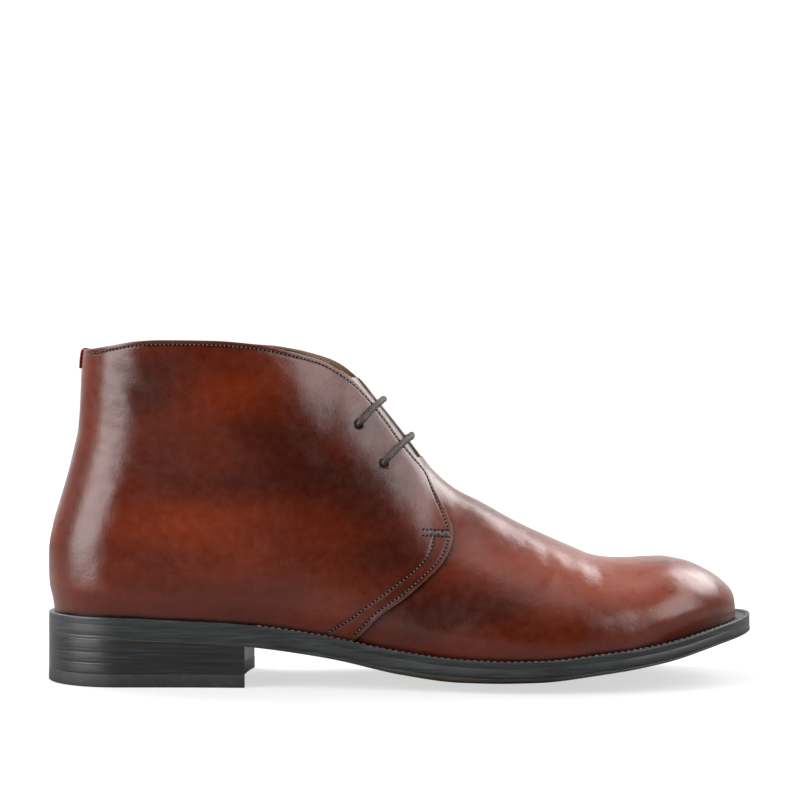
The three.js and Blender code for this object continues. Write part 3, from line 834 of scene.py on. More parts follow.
# Second row of stitches, from the tack down to the feather: length share, height share.
SECOND_ROWS = (
    (0.5457, 0.4247),
    (0.5401, 0.3842),
    (0.5207, 0.3384),
    (0.4974, 0.3007),
    (0.4655, 0.2521),
    (0.4336, 0.2034),
    (0.402, 0.162),
)

# Tack over both rows: length and height share of its ends, number of crossings, half height.
TACK_ENDS = ((0.5315, 0.443), (0.5685, 0.437))
TACK_CROSSINGS = 7
TACK_HALF_HEIGHT = 1.25 * MM


def stitch_lines(side):
    """Sewn rows of one quarter: round its top and front edge, and a second row in front."""
    top_line, front_line = quarter_edges(side)
    edge = np.concatenate([front_line, top_line[::-1]])
    edge = resampled(edge, np.linspace(*EDGE_ROW_SPAN, 420))
    near = insets(edge, side, -side * EDGE_ROW, QUARTER_STEP)
    second = rounded_line(side_view(SECOND_ROWS), 16)
    second = insets(second, side, 0, QUARTER_STEP)
    return near, second


def tack_lines(side):
    """Crossings of the tack, each a short line over the quarter."""
    (x0, z0), (x1, z1) = side_view(TACK_ENDS)
    lines = []
    for i in range(TACK_CROSSINGS):
        a, b = i / TACK_CROSSINGS, (i + 1) / TACK_CROSSINGS
        up = TACK_HALF_HEIGHT if i % 2 else -TACK_HALF_HEIGHT
        start = (x0 + (x1 - x0) * a, z0 + (z1 - z0) * a - up)
        end = (x0 + (x1 - x0) * b, z0 + (z1 - z0) * b + up)
        line = resampled([start, end], np.linspace(0, 1, 6))
        lines.append(insets(line, side, 0, QUARTER_STEP))
    spine = resampled(side_view(TACK_ENDS), np.linspace(0, 1, 12))
    lines.append(insets(spine, side, 0, QUARTER_STEP))
    return lines


# Creases: depth and width in mm, then points as X, Z in mm and side. A
# positive depth is a trough, a negative one a soft ridge.
CREASES = (
    (0.4, 9.0, ((-14, 136, -1), (-4, 128, -1), (4, 116, -1))),
    (0.14, 3.6, ((-24, 112, -1), (-12, 109, -1), (2, 103, -1))),
    (-0.12, 4.0, ((-25, 106, -1), (-12, 103, -1), (2, 97, -1))),
    (0.16, 3.2, ((-26, 97, -1), (-12, 96, -1), (2, 91, -1), (12, 90, -1))),
    (0.12, 3.4, ((-28, 86, -1), (-14, 85, -1), (-2, 82, -1))),
    (0.16, 9.0, ((22, 128, -1), (27, 112, -1), (30, 94, -1))),
    (-0.16, 9.0, ((36, 118, -1), (44, 100, -1), (60, 86, -1))),
    (0.22, 9.0, ((62, 112, -1), (74, 98, -1), (88, 88, -1))),
    (0.17, 5.6, ((168, 62, -1), (171, 55, -1), (172, 46, -1), (168, 37, -1))),
    (0.09, 5.0, ((178, 58, -1), (182, 50, -1), (183, 41, -1))),
    (0.09, 5.0, ((190, 52, -1), (194, 45, -1), (195, 37, -1))),
    (0.22, 5.0, ((168, 62, 1), (171, 55, 1), (172, 46, 1))),
    (0.16, 4.2, ((179, 58, 1), (183, 50, 1), (184, 42, 1))),
    (0.16, 3.2, ((-26, 98, 1), (-12, 95, 1), (2, 90, 1), (12, 88, 1))),
    (0.14, 3.6, ((-24, 114, 1), (-12, 110, 1), (0, 104, 1))),
    (0.2, 9.0, ((22, 126, 1), (27, 110, 1), (30, 94, 1))),
)


# Section of a crease, in widths: its core, and the place and share of its raised flanks.
# The taper is how bluntly it ends.
CREASE_CORE = 0.5
FLANK_PLACE = 0.85
FLANK_SHARE = 0.35
CREASE_TAPER = 0.6


def creased(points, normals):
    """Moves points along their normals by the listed troughs and ridges."""
    move = np.zeros(points.shape[:-1])
    for depth, width, stroke in CREASES:
        stroke = np.array(stroke, float)
        line = rounded_line(on_last(stroke[:, 0] * MM, stroke[:, 1] * MM, stroke[:, 2]), 10)
        gap, share = distance_to(points, line, 3 * width * MM)
        fade = np.sin(np.clip(share, 0.0, 1.0) * math.pi) ** CREASE_TAPER
        core = bell(gap, CREASE_CORE * width * MM)
        flank = bell(gap - FLANK_PLACE * width * MM, CREASE_CORE * width * MM)
        move += -depth * MM * fade * (core - FLANK_SHARE * flank)
    return points + normals * move[..., None]


# Patina patches: X, Z in mm, side, radius along X and Z in mm, tone from dark to light.
PATINA = (
    (0, 128, -1, 16, 12, -0.7),
    (12, 102, -1, 14, 20, -0.3),
    (38, 122, -1, 20, 10, 0.35),
    (28, 104, -1, 18, 16, 0.3),
    (62, 100, -1, 30, 20, -0.75),
    (40, 84, -1, 40, 8, -0.35),
    (96, 82, -1, 18, 22, -0.75),
    (34, 66, -1, 30, 12, 0.5),
    (6, 66, -1, 22, 10, 0.5),
    (70, 60, -1, 26, 14, 0.1),
    (108, 56, -1, 16, 14, -0.45),
    (132, 34, -1, 26, 10, -0.7),
    (118, 30, -1, 12, 10, -0.5),
    (128, 62, -1, 14, 12, 0.25),
    (152, 40, -1, 16, 10, -0.25),
    (150, 58, -1, 16, 12, 0.55),
    (176, 52, -1, 18, 10, 0.75),
    (200, 44, -1, 22, 12, 0.7),
    (228, 42, -1, 22, 12, 0.5),
    (250, 34, -1, 10, 12, 0.15),
    (196, 28, -1, 34, 6, -0.2),
    (-34, 60, -1, 10, 22, -0.2),
    (38, 118, 1, 24, 16, 0.2),
    (62, 98, 1, 32, 20, -0.6),
    (34, 66, 1, 32, 14, 0.4),
    (176, 54, 1, 20, 10, 0.6),
    (206, 44, 1, 30, 14, 0.6),
    (240, 40, 1, 20, 12, 0.4),
    (130, 36, 1, 26, 12, -0.6),
)


# How softly a patch fades past the middle of the boot.
SIDE_BLEND = 6 * MM


def patina_tone(points):
    tone = np.zeros(len(points))
    for x, z, side, reach_x, reach_z, amount in PATINA:
        same = 1 / (1 + np.exp(-points[:, 1] * side / SIDE_BLEND))
        along = (points[:, 0] - x * MM) / (reach_x * MM)
        up = (points[:, 2] - z * MM) / (reach_z * MM)
        tone += amount * np.exp(-(along**2 + up**2)) * same
    return np.clip(tone, -1, 1)


# Pieces of the upper

# Length and height of a quarter, over which its grid's steps are spread.
QUARTER_LENGTH = 165 * MM
QUARTER_HEIGHT = 150 * MM

# Steps of the leather grids: fine near the cut edges, coarse elsewhere.
FINE = 0.42 * MM
COARSE = 1.35 * MM

# Leather of the vamp and quarters, and the gap between a quarter and its lining.
VAMP_LEATHER = 1.2 * MM
QUARTER_LEATHER = QUARTER_STEP + 0.15 * MM
LINING_GAP = 0.1 * MM
LINING_TUCK = 5 * MM
VAMP_LINING = 0.5 * MM


def holes(side):
    """Centre and outward normal of each lace hole on one side."""
    for share_x, share_z in HOLE_ROWS:
        x, z = at_length(share_x), at_height(share_z)
        yield Vector(on_last(x, z, side)[0]), Vector(surface_normal(x, z, side)[0])


def square_to(normal):
    return normal.to_track_quat("Z", "Y").to_euler()


def punch(piece, side):
    """Cuts the lace holes through a piece, square to its surface."""
    cutters = []
    for centre, normal in holes(side):
        deselect()
        bpy.ops.mesh.primitive_cylinder_add(
            vertices=32,
            radius=HOLE_DIAMETER / 2,
            depth=14 * MM,
            location=centre,
            rotation=square_to(normal),
        )
        cutters.append(bpy.context.object)
    cutter = joined("punch", cutters)
    cut = piece.modifiers.new("holes", "BOOLEAN")
    cut.operation = "DIFFERENCE"
    cut.object = cutter
    cut.solver = "EXACT"
    apply_all(piece)
    bpy.data.objects.remove(cutter)


def make_hole_rims(leather):
    """Rounded rim of each punched hole, painted dark: painted shade at the hole's edge."""
    sunk = 0.15 * MM
    rims = []
    for centre, normal in (*holes(-1), *holes(1)):
        deselect()
        bpy.ops.mesh.primitive_torus_add(
            major_segments=36,
            minor_segments=10,
            major_radius=HOLE_DIAMETER / 2 + 0.15 * MM,
            minor_radius=0.36 * MM,
            location=centre + normal * (QUARTER_STEP - sunk),
            rotation=square_to(normal),
        )
        rims.append(bpy.context.object)
    piece = joined("hole_rims", rims)
    bpy.ops.object.transform_apply(location=True, rotation=True, scale=True)
    smooth(piece)
    paint(piece, "patina", -1.0)
    paint(piece, "edges_and_painted_light", -0.7)
    piece.data.materials.append(leather)
    belongs(piece, "upper_leather")


def bent(shares):
    """Shares that suit the cosine spacing of a quarter's columns."""
    return np.arccos(1 - shares) / (math.pi / 2)


def make_quarter(name, side, leather):
    across = bent(graded(20 * MM, FINE, COARSE, QUARTER_LENGTH))
    up = graded(4 * MM, FINE, COARSE, QUARTER_HEIGHT)
    points, normals = quarter_points(side, QUARTER_STEP, across, up)
    for line in stitch_lines(side):
        gap, _ = distance_to(points, line, 3 * MM)
        points = points - normals * (GROOVE_DEPTH * bell(gap, GROOVE_WIDTH))[..., None]
    points = creased(points, normals)
    piece = grid_sheet(name, points, lambda middle: np.array([0, side, 0]))
    leather_body(piece, thickness=QUARTER_LEATHER, rim=0.28 * MM)
    punch(piece, side)
    # Painted highlight along the outer quarter's rim, painted shade along the inner quarter's rim.
    finish_leather(piece, leather, rim_light_and_shade=(0.5, -0.6), rim_width=0.6 * MM)
    belongs(piece, "upper_leather", "upper")


# Painted shadow along the foot of the upper, above the welt: its height and tone. Painted shade along the
# sewn rows: its tone.
FOOT_SHADE = 1.5 * MM
FOOT_SHADOW_TONE = -0.85
SEWN_SHADE_TONE = -0.9


def finish_leather(piece, leather, rim_light_and_shade, rim_width):
    """Tones each vertex by the listed patches of patina, and paints light and shade into it: a painted
    shadow along the foot above the welt, painted shade along the sewn rows, and along the quarters' edges a
    painted highlight where the rim amount is positive, painted shade where it is negative. The rim amounts
    are outer, then inner."""
    points = read(piece.data.vertices, "co")
    paint(piece, "patina", patina_tone(points))
    # Painted shadow along the foot of the upper, above the welt.
    rise = points[:, 2] - feather_height(points[:, 0], np.where(points[:, 1] > 0, 1, -1))
    edge = FOOT_SHADOW_TONE * bell(np.maximum(rise, 0), FOOT_SHADE)
    # Along the quarters' edges: painted highlight where the amount is positive, painted shade where it is
    # negative.
    for side, rim_light_amount in zip((-1, 1), rim_light_and_shade):
        for line in quarter_edges(side):
            line = resampled(line, np.linspace(0, 1, 200))
            rim = on_last(line[:, 0], line[:, 1], side)
            rim = rim + surface_normal(line[:, 0], line[:, 1], side) * (QUARTER_STEP / 2)
            gap, _ = distance_to(points, rim, 3 * MM)
            edge = edge + rim_light_amount * bell(gap, rim_width)
        # Painted shade along the sewn rows and the tack.
        for line in (*stitch_lines(side), *tack_lines(side)):
            gap, _ = distance_to(points, line, 3 * MM)
            edge = edge + SEWN_SHADE_TONE * bell(gap, GROOVE_WIDTH)
    paint(piece, "edges_and_painted_light", np.clip(edge, -1, 1))
    piece.data.materials.append(leather)


# Ring at the foot of the throat, as a share of the rings.
VAMP_TOP = 0.715

# Where the vamp's rings begin, hidden under the quarters: share of the rings, length share.
VAMP_START_ROWS = ((0, 0.395), (0.3, 0.475), (0.6, 0.5), (0.72, 0.43))


def on_ring(t):
    """Place on a ring as the share of its cosine spacing."""
    return np.arccos(1 - 2 * t) / math.pi


def vamp_start(v, side):
    x = at_length(column_curve(VAMP_START_ROWS, 1)(v))
    t = np.full(len(v), 0.3)
    for _ in range(30):
        found = ring_points(v, t, side)[:, 0]
        t = np.clip(t + (x - found) / LENGTH, 0.02, 0.97)
    return on_ring(t)


def make_vamp(leather):
    v = np.concatenate([np.linspace(0, 0.1, 16), np.linspace(0.1, VAMP_TOP, 104)[1:]])
    points, normals = ring_sheet(v, vamp_start, 88, 0)
    points = creased(points, normals)
    piece = grid_sheet("vamp", points, lambda middle: np.array([0, 0, 1]))
    leather_body(piece, thickness=VAMP_LEATHER, rim=0.25 * MM)
    # Painted shadow on the vamp along the quarters' edges, where they lie on it.
    finish_leather(piece, leather, rim_light_and_shade=(-0.9, -0.9), rim_width=1.1 * MM)
    belongs(piece, "upper_leather", "upper")


def make_vamp_lining(lining):
    v = np.linspace(0, VAMP_TOP, 60)
    points, _ = ring_sheet(v, vamp_start, 48, -VAMP_LEATHER - 0.05 * MM)
    piece = grid_sheet("vamp_lining", points, lambda middle: np.array([0, 0, 1]))
    leather_body(piece, thickness=VAMP_LINING, rim=0.1 * MM)
    piece.data.materials.append(lining)
    belongs(piece, "lining_leather", "upper")


def make_quarter_lining(name, side, lining):
    across = bent(graded(4 * MM, 0.8 * MM, 2 * MM, QUARTER_LENGTH))
    up = graded(3 * MM, 0.6 * MM, 2 * MM, QUARTER_HEIGHT)
    points, _ = quarter_points(side, -LINING_GAP, across, up, LINING_TUCK)
    piece = grid_sheet(name, points, lambda middle: np.array([0, side, 0]))
    leather_body(piece, thickness=WALL - LINING_GAP, rim=0.3 * MM)
    punch(piece, side)
    piece.data.materials.append(lining)
    belongs(piece, "lining_leather", "upper")


# Rings at the tongue's foot and top edge, as shares of the rings.
TONGUE_FOOT = 0.645
TONGUE_TOP = 0.885


def tongue_start(v, side):
    low, high = np.full(len(v), 0.3), np.full(len(v), 1.0)
    for _ in range(30):
        t = (low + high) / 2
        wide = np.abs(ring_points(v, t, side)[:, 1]) > TONGUE_HALF_WIDTH - 0.5 * MM
        low, high = np.where(wide, t, low), np.where(wide, high, t)
    return on_ring(t)


def make_tongue(leather):
    v = np.linspace(TONGUE_FOOT, TONGUE_TOP, 90)
    points, _ = ring_sheet(v, tongue_start, 30, -WALL - CLEARANCE)
    piece = grid_sheet("tongue_leather", points, lambda middle: np.array([1, 0, 0.5]))
    leather_body(piece, thickness=TONGUE_THICKNESS, rim=0.5 * MM)
    # The tongue is painted dark all over: painted shade, where it lies between the facings.
    paint(piece, "patina", -1.0)
    paint(piece, "edges_and_painted_light", -0.6)
    piece.data.materials.append(leather)
    belongs(piece, "upper_leather", "tongue")


def back_surface(y, z):
    """X of the last's back surface over y, z."""
    foot = FEATHER_BACK + FEATHER_HEEL_ROUNDING
    half = last_half_width(np.full_like(z, foot), z - feather_height(foot, 1))
    share = np.clip(np.abs(y) / half, 0, 1)
    return back_reach(z) + FEATHER_HEEL_ROUNDING * (1 - np.sqrt(1 - share**2))


TAB_GAP = 0.08 * MM
TAB_LEATHER = 0.8 * MM

# Length share of the collar where the tab is folded, and the height of its dark cut ends.
TAB_PLACE = 0.06
TAB_END = 0.6 * MM


def make_heel_tab(leather):
    """Strap folded over the collar at the back seam."""
    outside = QUARTER_STEP + TAB_GAP + TAB_LEATHER
    inside = -WALL - TAB_GAP
    radius = (outside - inside) / 2
    collar = float(collar_height(at_length(TAB_PLACE), 1)[0])
    low = collar - TAB_DROP
    rise = collar + TAB_GAP + TAB_LEATHER - radius
    path = [(outside, z) for z in np.linspace(low, rise, 16)]
    for angle in np.linspace(0, math.pi, 16)[1:-1]:
        path.append((inside + radius + radius * math.cos(angle), rise + radius * math.sin(angle)))
    path += [(inside, z) for z in np.linspace(rise, low, 16)]
    offset, z = np.array(path).T[:, :, None]
    y, offset, z = np.broadcast_arrays(np.linspace(-TAB_WIDTH / 2, TAB_WIDTH / 2, 25), offset, z)
    base = back_surface(y, np.minimum(z, rise + radius * 0.5))
    slope = (back_surface(y + 1 * MM, z) - back_surface(y - 1 * MM, z)) / (2 * MM)
    scale = 1 / np.sqrt(1 + slope**2)
    points = np.stack([base - offset * scale, y + offset * slope * scale, z], axis=-1)
    centre = np.array([base.mean() + 0.4 * MM, 0, rise])
    piece = grid_sheet("heel_tab_strap", points, lambda middle: middle - centre)
    leather_body(piece, thickness=TAB_LEATHER, rim=0.25 * MM)
    paint(piece, "patina", 0.1)
    paint(piece, "edges_and_painted_light", -bell(read(piece.data.vertices, "co")[:, 2] - low, TAB_END))
    piece.data.materials.append(leather)
    belongs(piece, "upper_leather", "heel_tab")


# Sole and heel


def sole_loop(stations):
    half = stations - 1
    k = np.arange(2 * half)
    along = np.where(k <= half, k / half, (2 * half - k) / half)
    side = np.where(k <= half, -1, 1)
    x = HEEL_BACK + (TOE_TIP - HEEL_BACK) * (1 - np.cos(math.pi * along)) / 2
    return np.stack([x, outline_middle(x) + side * sole_half_width(x)], axis=-1)


def grown_loop(loop, grow):
    along = np.roll(loop, -1, axis=0) - np.roll(loop, 1, axis=0)
    along /= np.linalg.norm(along, axis=1, keepdims=True)
    return loop + np.stack([along[:, 1], -along[:, 0]], axis=-1) * np.reshape(grow, (-1, 1))


def band(faces, upper, lower, count):
    """Adds the faces between two rings of vertices."""
    for i in range(count):
        n = (i + 1) % count
        faces.append([upper + i, lower + i, lower + n, upper + n])


def slab(name, loops, heights, lanes):
    """Closed slab from the top loop to the bottom loop, with lanes across both faces."""
    count = len(loops[0])
    half = count // 2
    vertices = []
    faces = []

    def lane_points(loop, height):
        rows = []
        for k in range(half + 1):
            a, b = loop[k], loop[(count - k) % count]
            t = np.linspace(0, 1, lanes + 1)[:, None]
            rows.append(a + (b - a) * t)
        flat = np.array(rows)
        z = height(flat[..., 0].ravel(), flat[..., 1].ravel()).reshape(flat.shape[:2])
        return np.concatenate([flat, z[..., None]], axis=-1)

    def add(points):
        start = len(vertices)
        vertices.extend(map(tuple, points.reshape(-1, 3)))
        return start

    for level, flip in ((0, False), (-1, True)):
        start = add(lane_points(loops[level], heights[level]))
        for k in range(half):
            for j in range(lanes):
                a = start + k * (lanes + 1) + j
                quad = [a, a + lanes + 1, a + lanes + 2, a + 1]
                faces.append(quad[::-1] if flip else quad)
    starts = []
    for loop, height in zip(loops, heights):
        z = height(loop[:, 0], loop[:, 1])
        starts.append(add(np.concatenate([loop, z[:, None]], axis=1)))
    for upper, lower in zip(starts, starts[1:]):
        band(faces, upper, lower, count)
    return built(name, vertices, faces, 0.004 * MM)


# Edge of the outsole: depth share, outward growth in mm. A fine line runs near the bottom.
OUTSOLE_EDGE = (
    (0.0, -0.05),
    (0.02, 0.0),
    (0.4, 0.03),
    (0.72, 0.0),
    (0.76, -0.28),
    (0.79, -0.28),
    (0.82, 0.1),
    (0.86, 0.2),
    (0.94, 0.16),
    (0.98, 0.0),
    (1.0, -0.3),
)

# Edge of the welt strip: depth share, outward growth in mm.
WELT_EDGE = (
    (0.0, -0.9),
    (0.03, -0.5),
    (0.1, -0.14),
    (0.2, 0.02),
    (0.34, 0.02),
    (0.42, -0.08),
    (0.98, 0.0),
    (1.0, -0.05),
)

# How far the welt and the layers of the heel stay off the layer below.
PRESSED_GAP = 0.02 * MM

# Points along the sole's length, and how much of the edge's relief the heel keeps.
SOLE_STATIONS = 150
HEEL_RELIEF = 0.3
RELIEF_FADE = 40 * MM


def between(rows, top, bottom):
    """Heights of a slab's loops from their depth shares."""

    def height(depth):
        return lambda x, y: top(x, y) + (bottom(x, y) - top(x, y)) * depth

    return [height(depth) for depth, _ in rows]


def edge_slab(name, rows, top, bottom, lanes):
    loop = sole_loop(SOLE_STATIONS)
    flush = HEEL_RELIEF + (1 - HEEL_RELIEF) * smooth_step((loop[:, 0] - BREAST) / RELIEF_FADE)
    loops = [grown_loop(loop, grow * MM * flush) for _, grow in rows]
    piece = slab(name, loops, between(rows, top, bottom), lanes)
    smooth(piece, 50)
    return piece


def make_outsole(material):
    piece = edge_slab("outsole_leather", OUTSOLE_EDGE, outsole_top, outsole_bottom, 16)
    x, y, z = read(piece.data.vertices, "co").T
    paint(piece, "underside", z - outsole_bottom(x, y) < 0.25 * MM)
    piece.data.materials.append(material)
    belongs(piece, "sole_leather", "outsole")


def make_welt(material):
    piece = edge_slab("welt", WELT_EDGE, midsole_top, lambda x, y: outsole_top(x, y) + PRESSED_GAP, 12)
    paint(piece, "underside", 0)
    piece.data.materials.append(material)
    belongs(piece, "sole_leather", "midsole")


# Edge of the sock and insole: depth share, outward growth in mm from the sole's outline. At the
# toe it draws back further, from a length share on.
SOCK_EDGE = ((0.0, -6.0), (0.05, -5.2), (0.3, -4.7), (1.0, -4.7))
SOCK_TOE_START = 0.8
SOCK_TOE_INSET = 6.5 * MM


def make_sock(lining):
    """Insole with its leather sock, rounded at the rim."""
    loop = sole_loop(90)
    start = at_length(SOCK_TOE_START)
    inset = SOCK_TOE_INSET * smooth_step((loop[:, 0] - start) / (TOE_TIP - start))
    loops = [grown_loop(loop, grow * MM - inset) for _, grow in SOCK_EDGE]
    heights = between(SOCK_EDGE, insole_top, lambda x, y: insole_top(x, y) - INSOLE_THICKNESS)
    piece = slab("sock", loops, heights, 10)
    smooth(piece, 60)
    piece.data.materials.append(lining)
    belongs(piece, "lining_leather", "insole")


# Steps along a heel piece's side and across its breast, and the rings on its faces as shares.
HEEL_STATIONS = 44
HEEL_LANES = 14
FACE_RINGS = (0.96, 0.8, 0.5)


def heel_loop():
    """Outline of the heel: outer side from the back, hollow breast, inner side."""
    along = 1 - np.cos(math.pi / 2 * np.arange(HEEL_STATIONS + 1) / HEEL_STATIONS)
    x = HEEL_BACK + (BREAST - HEEL_BACK) * along
    half = sole_half_width(x)
    middle = outline_middle(x)
    outer = np.stack([x, middle - half], axis=-1)
    inner = np.stack([x, middle + half], axis=-1)
    across = np.linspace(-1, 1, HEEL_LANES + 1)[1:-1]
    hollow = BREAST - BREAST_HOLLOW * (1 - across**2)
    breast = np.stack([hollow, middle[-1] + across * half[-1]], axis=-1)
    loop = np.concatenate([outer, breast, inner[::-1][:-1]])
    return loop[np.linalg.norm(loop - np.roll(loop, 1, axis=0), axis=1) > 1e-9]


def heel_piece(name, top, bottom, rows, material, slot, node):
    """Layer of the heel with a hollow breast and rounded edges. Its faces close on the origin,
    the middle of the heel."""
    loop = heel_loop()
    count = len(loop)
    vertices, faces, starts = [], [], []

    def add(ring, z):
        vertices.extend((a, b, c) for (a, b), c in zip(ring, z))
        return len(vertices) - len(ring)

    for (_, grow), height in zip(rows, between(rows, top, bottom)):
        ring = grown_loop(loop, grow * MM)
        starts.append(add(ring, height(ring[:, 0], ring[:, 1])))
    for upper, lower in zip(starts, starts[1:]):
        band(faces, upper, lower, count)
    for start, face in ((starts[0], top), (starts[-1], bottom)):
        rim = np.array(vertices[start:start + count])[:, :2]
        chain = [start] + [add(rim * share, face(*(rim * share).T)) for share in FACE_RINGS]
        tip = add(np.zeros((1, 2)), face(np.zeros(1), np.zeros(1)))
        for upper, lower in zip(chain, chain[1:]):
            band(faces, upper, lower, count)
        for i in range(count):
            faces.append([chain[-1] + i, tip, chain[-1] + (i + 1) % count])
    piece = built(name, vertices, faces, 0.002 * MM)
    smooth(piece, 50)
    paint(piece, "underside", 0)
    piece.data.materials.append(material)
    belongs(piece, slot, node)


# Edges of the heel layers: depth share, outward growth in mm.
LIFT_EDGE = ((0.0, -0.09), (0.025, -0.02), (0.06, 0.0), (0.94, 0.0), (0.975, -0.02), (1.0, -0.09))
TOP_LIFT_EDGE = (
    (0.0, -0.12),
    (0.025, 0.0),
    (0.06, 0.05),
    (0.9, 0.1),
    (0.95, 0.05),
    (1.0, -0.4),
)


def level(height):
    return lambda x, y: np.full(np.shape(x), height)


def make_heel(edge, rubber):
    """Top lift, two level layers and the wedge under the outsole, from the ground up."""
    first = TOP_LIFT_THICKNESS
    heel_piece("top_lift_rubber", level(first), level(0), TOP_LIFT_EDGE, rubber, "heel_rubber", "top_lift")
    for name, node in (("heel_layer_lower", "heel_lift_lower"), ("heel_layer_upper", "heel_lift_upper")):
        top, bottom = level(first + LIFT_THICKNESS), level(first + PRESSED_GAP)
        heel_piece(name, top, bottom, LIFT_EDGE, edge, "sole_leather", node)
        first += LIFT_THICKNESS
    top, bottom = lambda x, y: outsole_bottom(x, y) - PRESSED_GAP, level(first + PRESSED_GAP)
    heel_piece("heel_layer_wedge", top, bottom, LIFT_EDGE, edge, "sole_leather", "heel_lift_wedge")


# Stitches and lace


# Rings of one stitch: place along its length, share of its radius, lift in radii.
STITCH_RINGS = (
    (-0.5, 0.35, -0.75),
    (-0.36, 0.85, -0.15),
    (0.0, 1.0, 0.25),
    (0.36, 0.85, -0.15),
    (0.5, 0.35, -0.75),
)
STITCH_SIDES = 6


def stitch_run(name, line, normals, pitch, length, radius, colour, slant=0.0, phase=0.5):
    """Row of short thread humps along a line: one low stitch modelled once and copied. The
    phase is how far the first stands from the start, in pitches."""
    steps = np.linalg.norm(np.diff(line, axis=0), axis=1)
    total = float(steps.sum())
    count = max(1, int(total / pitch))
    shares = (np.arange(count) + phase) / count
    centres = resampled(line, shares)
    ahead = resampled(line, np.clip(shares + 0.3 / count, 0, 1))
    behind = resampled(line, np.clip(shares - 0.3 / count, 0, 1))
    up = resampled(normals, shares)
    around = STITCH_SIDES
    vertices, faces = [], []
    for centre, a, b, n in zip(centres, behind, ahead, up):
        along = (b - a) / max(np.linalg.norm(b - a), 1e-12)
        n = n / np.linalg.norm(n)
        n = n - along * np.dot(n, along)
        n /= np.linalg.norm(n)
        across = np.cross(n, along)
        along = along + across * slant
        along /= np.linalg.norm(along)
        across = np.cross(n, along)
        start = len(vertices)
        for place, size, lift in STITCH_RINGS:
            middle = centre + along * place * length + n * lift * radius
            for k in range(around):
                angle = 2 * math.pi * k / around
                out = across * math.cos(angle) + n * math.sin(angle)
                vertices.append(tuple(middle + out * radius * size))
        for ring in range(len(STITCH_RINGS) - 1):
            for k in range(around):
                m = (k + 1) % around
                base = start + ring * around
                faces.append([base + k, base + m, base + around + m, base + around + k])
        faces.append([start + k for k in range(around)][::-1])
        end = start + (len(STITCH_RINGS) - 1) * around
        faces.append([end + k for k in range(around)])
    piece = built(name, vertices, faces, 1e-7)
    smooth(piece)
    piece.data.materials.append(colour)
    return piece


def side_normals(line, side):
    return surface_normal(line[:, 0], line[:, 2], side)


# Awl holes between the stitches, as dark discs of painted shade.
PRICK_LENGTH = 0.85 * MM
PRICK_RADIUS = 0.4 * MM

# How far the stitches sink into the leather, and the holes below them.
STITCH_SINK = 0.12 * MM
PRICK_SINK = 0.05 * MM

# Stitches on the welt: distance in from its edge, length share where they start, and their size.
WELT_ROW = 1.7 * MM
WELT_ROW_START = 0.3
WELT_PITCH = 2.8 * MM
WELT_STITCH = 2.0 * MM


def make_stitches(thread, beige, hole):
    for side, word in ((-1, "outer"), (1, "inner")):
        near, second = stitch_lines(side)
        for name, line in (("edge_stitches_", near), ("second_stitches_", second)):
            normals = side_normals(line, side)
            sunk = line - normals * STITCH_SINK
            piece = stitch_run(
                name + word, sunk, normals, STITCH_PITCH, STITCH_LENGTH, STITCH_RADIUS, thread, slant=0.1
            )
            belongs(piece, "waxed_cord")
            # Dark discs of painted shade at the awl holes.
            name = name.replace("stitches", "pricks") + word
            sunk = sunk - normals * PRICK_SINK
            pricked = stitch_run(
                name, sunk, normals, STITCH_PITCH, PRICK_LENGTH, PRICK_RADIUS, hole, phase=0.0
            )
            belongs(pricked, "upper_leather")
        tack = []
        for line in tack_lines(side):
            run = float(np.linalg.norm(line[-1] - line[0]))
            pitch = run if run < 5 * MM else STITCH_PITCH
            normals = side_normals(line, side)
            tack.append(stitch_run("tack_stitch", line, normals, pitch, pitch * 0.95, STITCH_RADIUS, thread))
        belongs(joined("tack_" + word, tack), "waxed_cord")
        # Dark discs of painted shade at the tack's awl holes.
        pricked = []
        for rise in (-TACK_HALF_HEIGHT, TACK_HALF_HEIGHT):
            line = resampled(side_view(TACK_ENDS) + [0, rise], np.linspace(0, 1, 12))
            line = insets(line, side, 0, QUARTER_STEP + 0.1 * MM)
            normals = side_normals(line, side)
            pitch = float(np.linalg.norm(np.diff(line, axis=0), axis=1).sum()) / (TACK_CROSSINGS + 0.5)
            pricked.append(
                stitch_run("tack_prick", line, normals, pitch, PRICK_LENGTH, PRICK_RADIUS, hole, phase=0.0)
            )
        belongs(joined("tack_pricks_" + word, pricked), "upper_leather")
    line = grown_loop(sole_loop(220), -WELT_ROW)
    line = line[line[:, 0] > at_length(WELT_ROW_START)]
    line = np.concatenate([line, midsole_top(line[:, 0], line[:, 1])[:, None]], axis=1)
    normals = np.tile(np.array([0.0, 0.0, 1.0]), (len(line), 1))
    piece = stitch_run(
        "welt_stitches", line, normals, WELT_PITCH, WELT_STITCH, STITCH_RADIUS, beige, slant=0.25
    )
    belongs(piece, "waxed_cord")


def tube(name, path, radius, material):
    """Cord along a path: a curve with a round section, turned to a mesh with closed ends."""
    curve = bpy.data.curves.new(name, "CURVE")
    curve.dimensions = "3D"
    curve.bevel_depth = radius
    curve.bevel_resolution = 4
    curve.resolution_u = 6
    curve.use_fill_caps = True
    spline = curve.splines.new("BEZIER")
    spline.bezier_points.add(len(path) - 1)
    for point, place in zip(spline.bezier_points, path):
        point.co = place
        point.handle_left_type = point.handle_right_type = "AUTO"
    piece = bpy.data.objects.new(name, curve)
    bpy.context.collection.objects.link(piece)
    select_only(piece)
    bpy.ops.object.convert(target="MESH")
    piece = named(name)
    smooth(piece)
    piece.data.materials.append(material)
    return piece


# Length share at which each bar crosses the crest.
BAR_REACH = (0.51, 0.47)

# How far a bar hangs below the line over the crest, between the facings.
LACE_SAG = 2.2 * MM


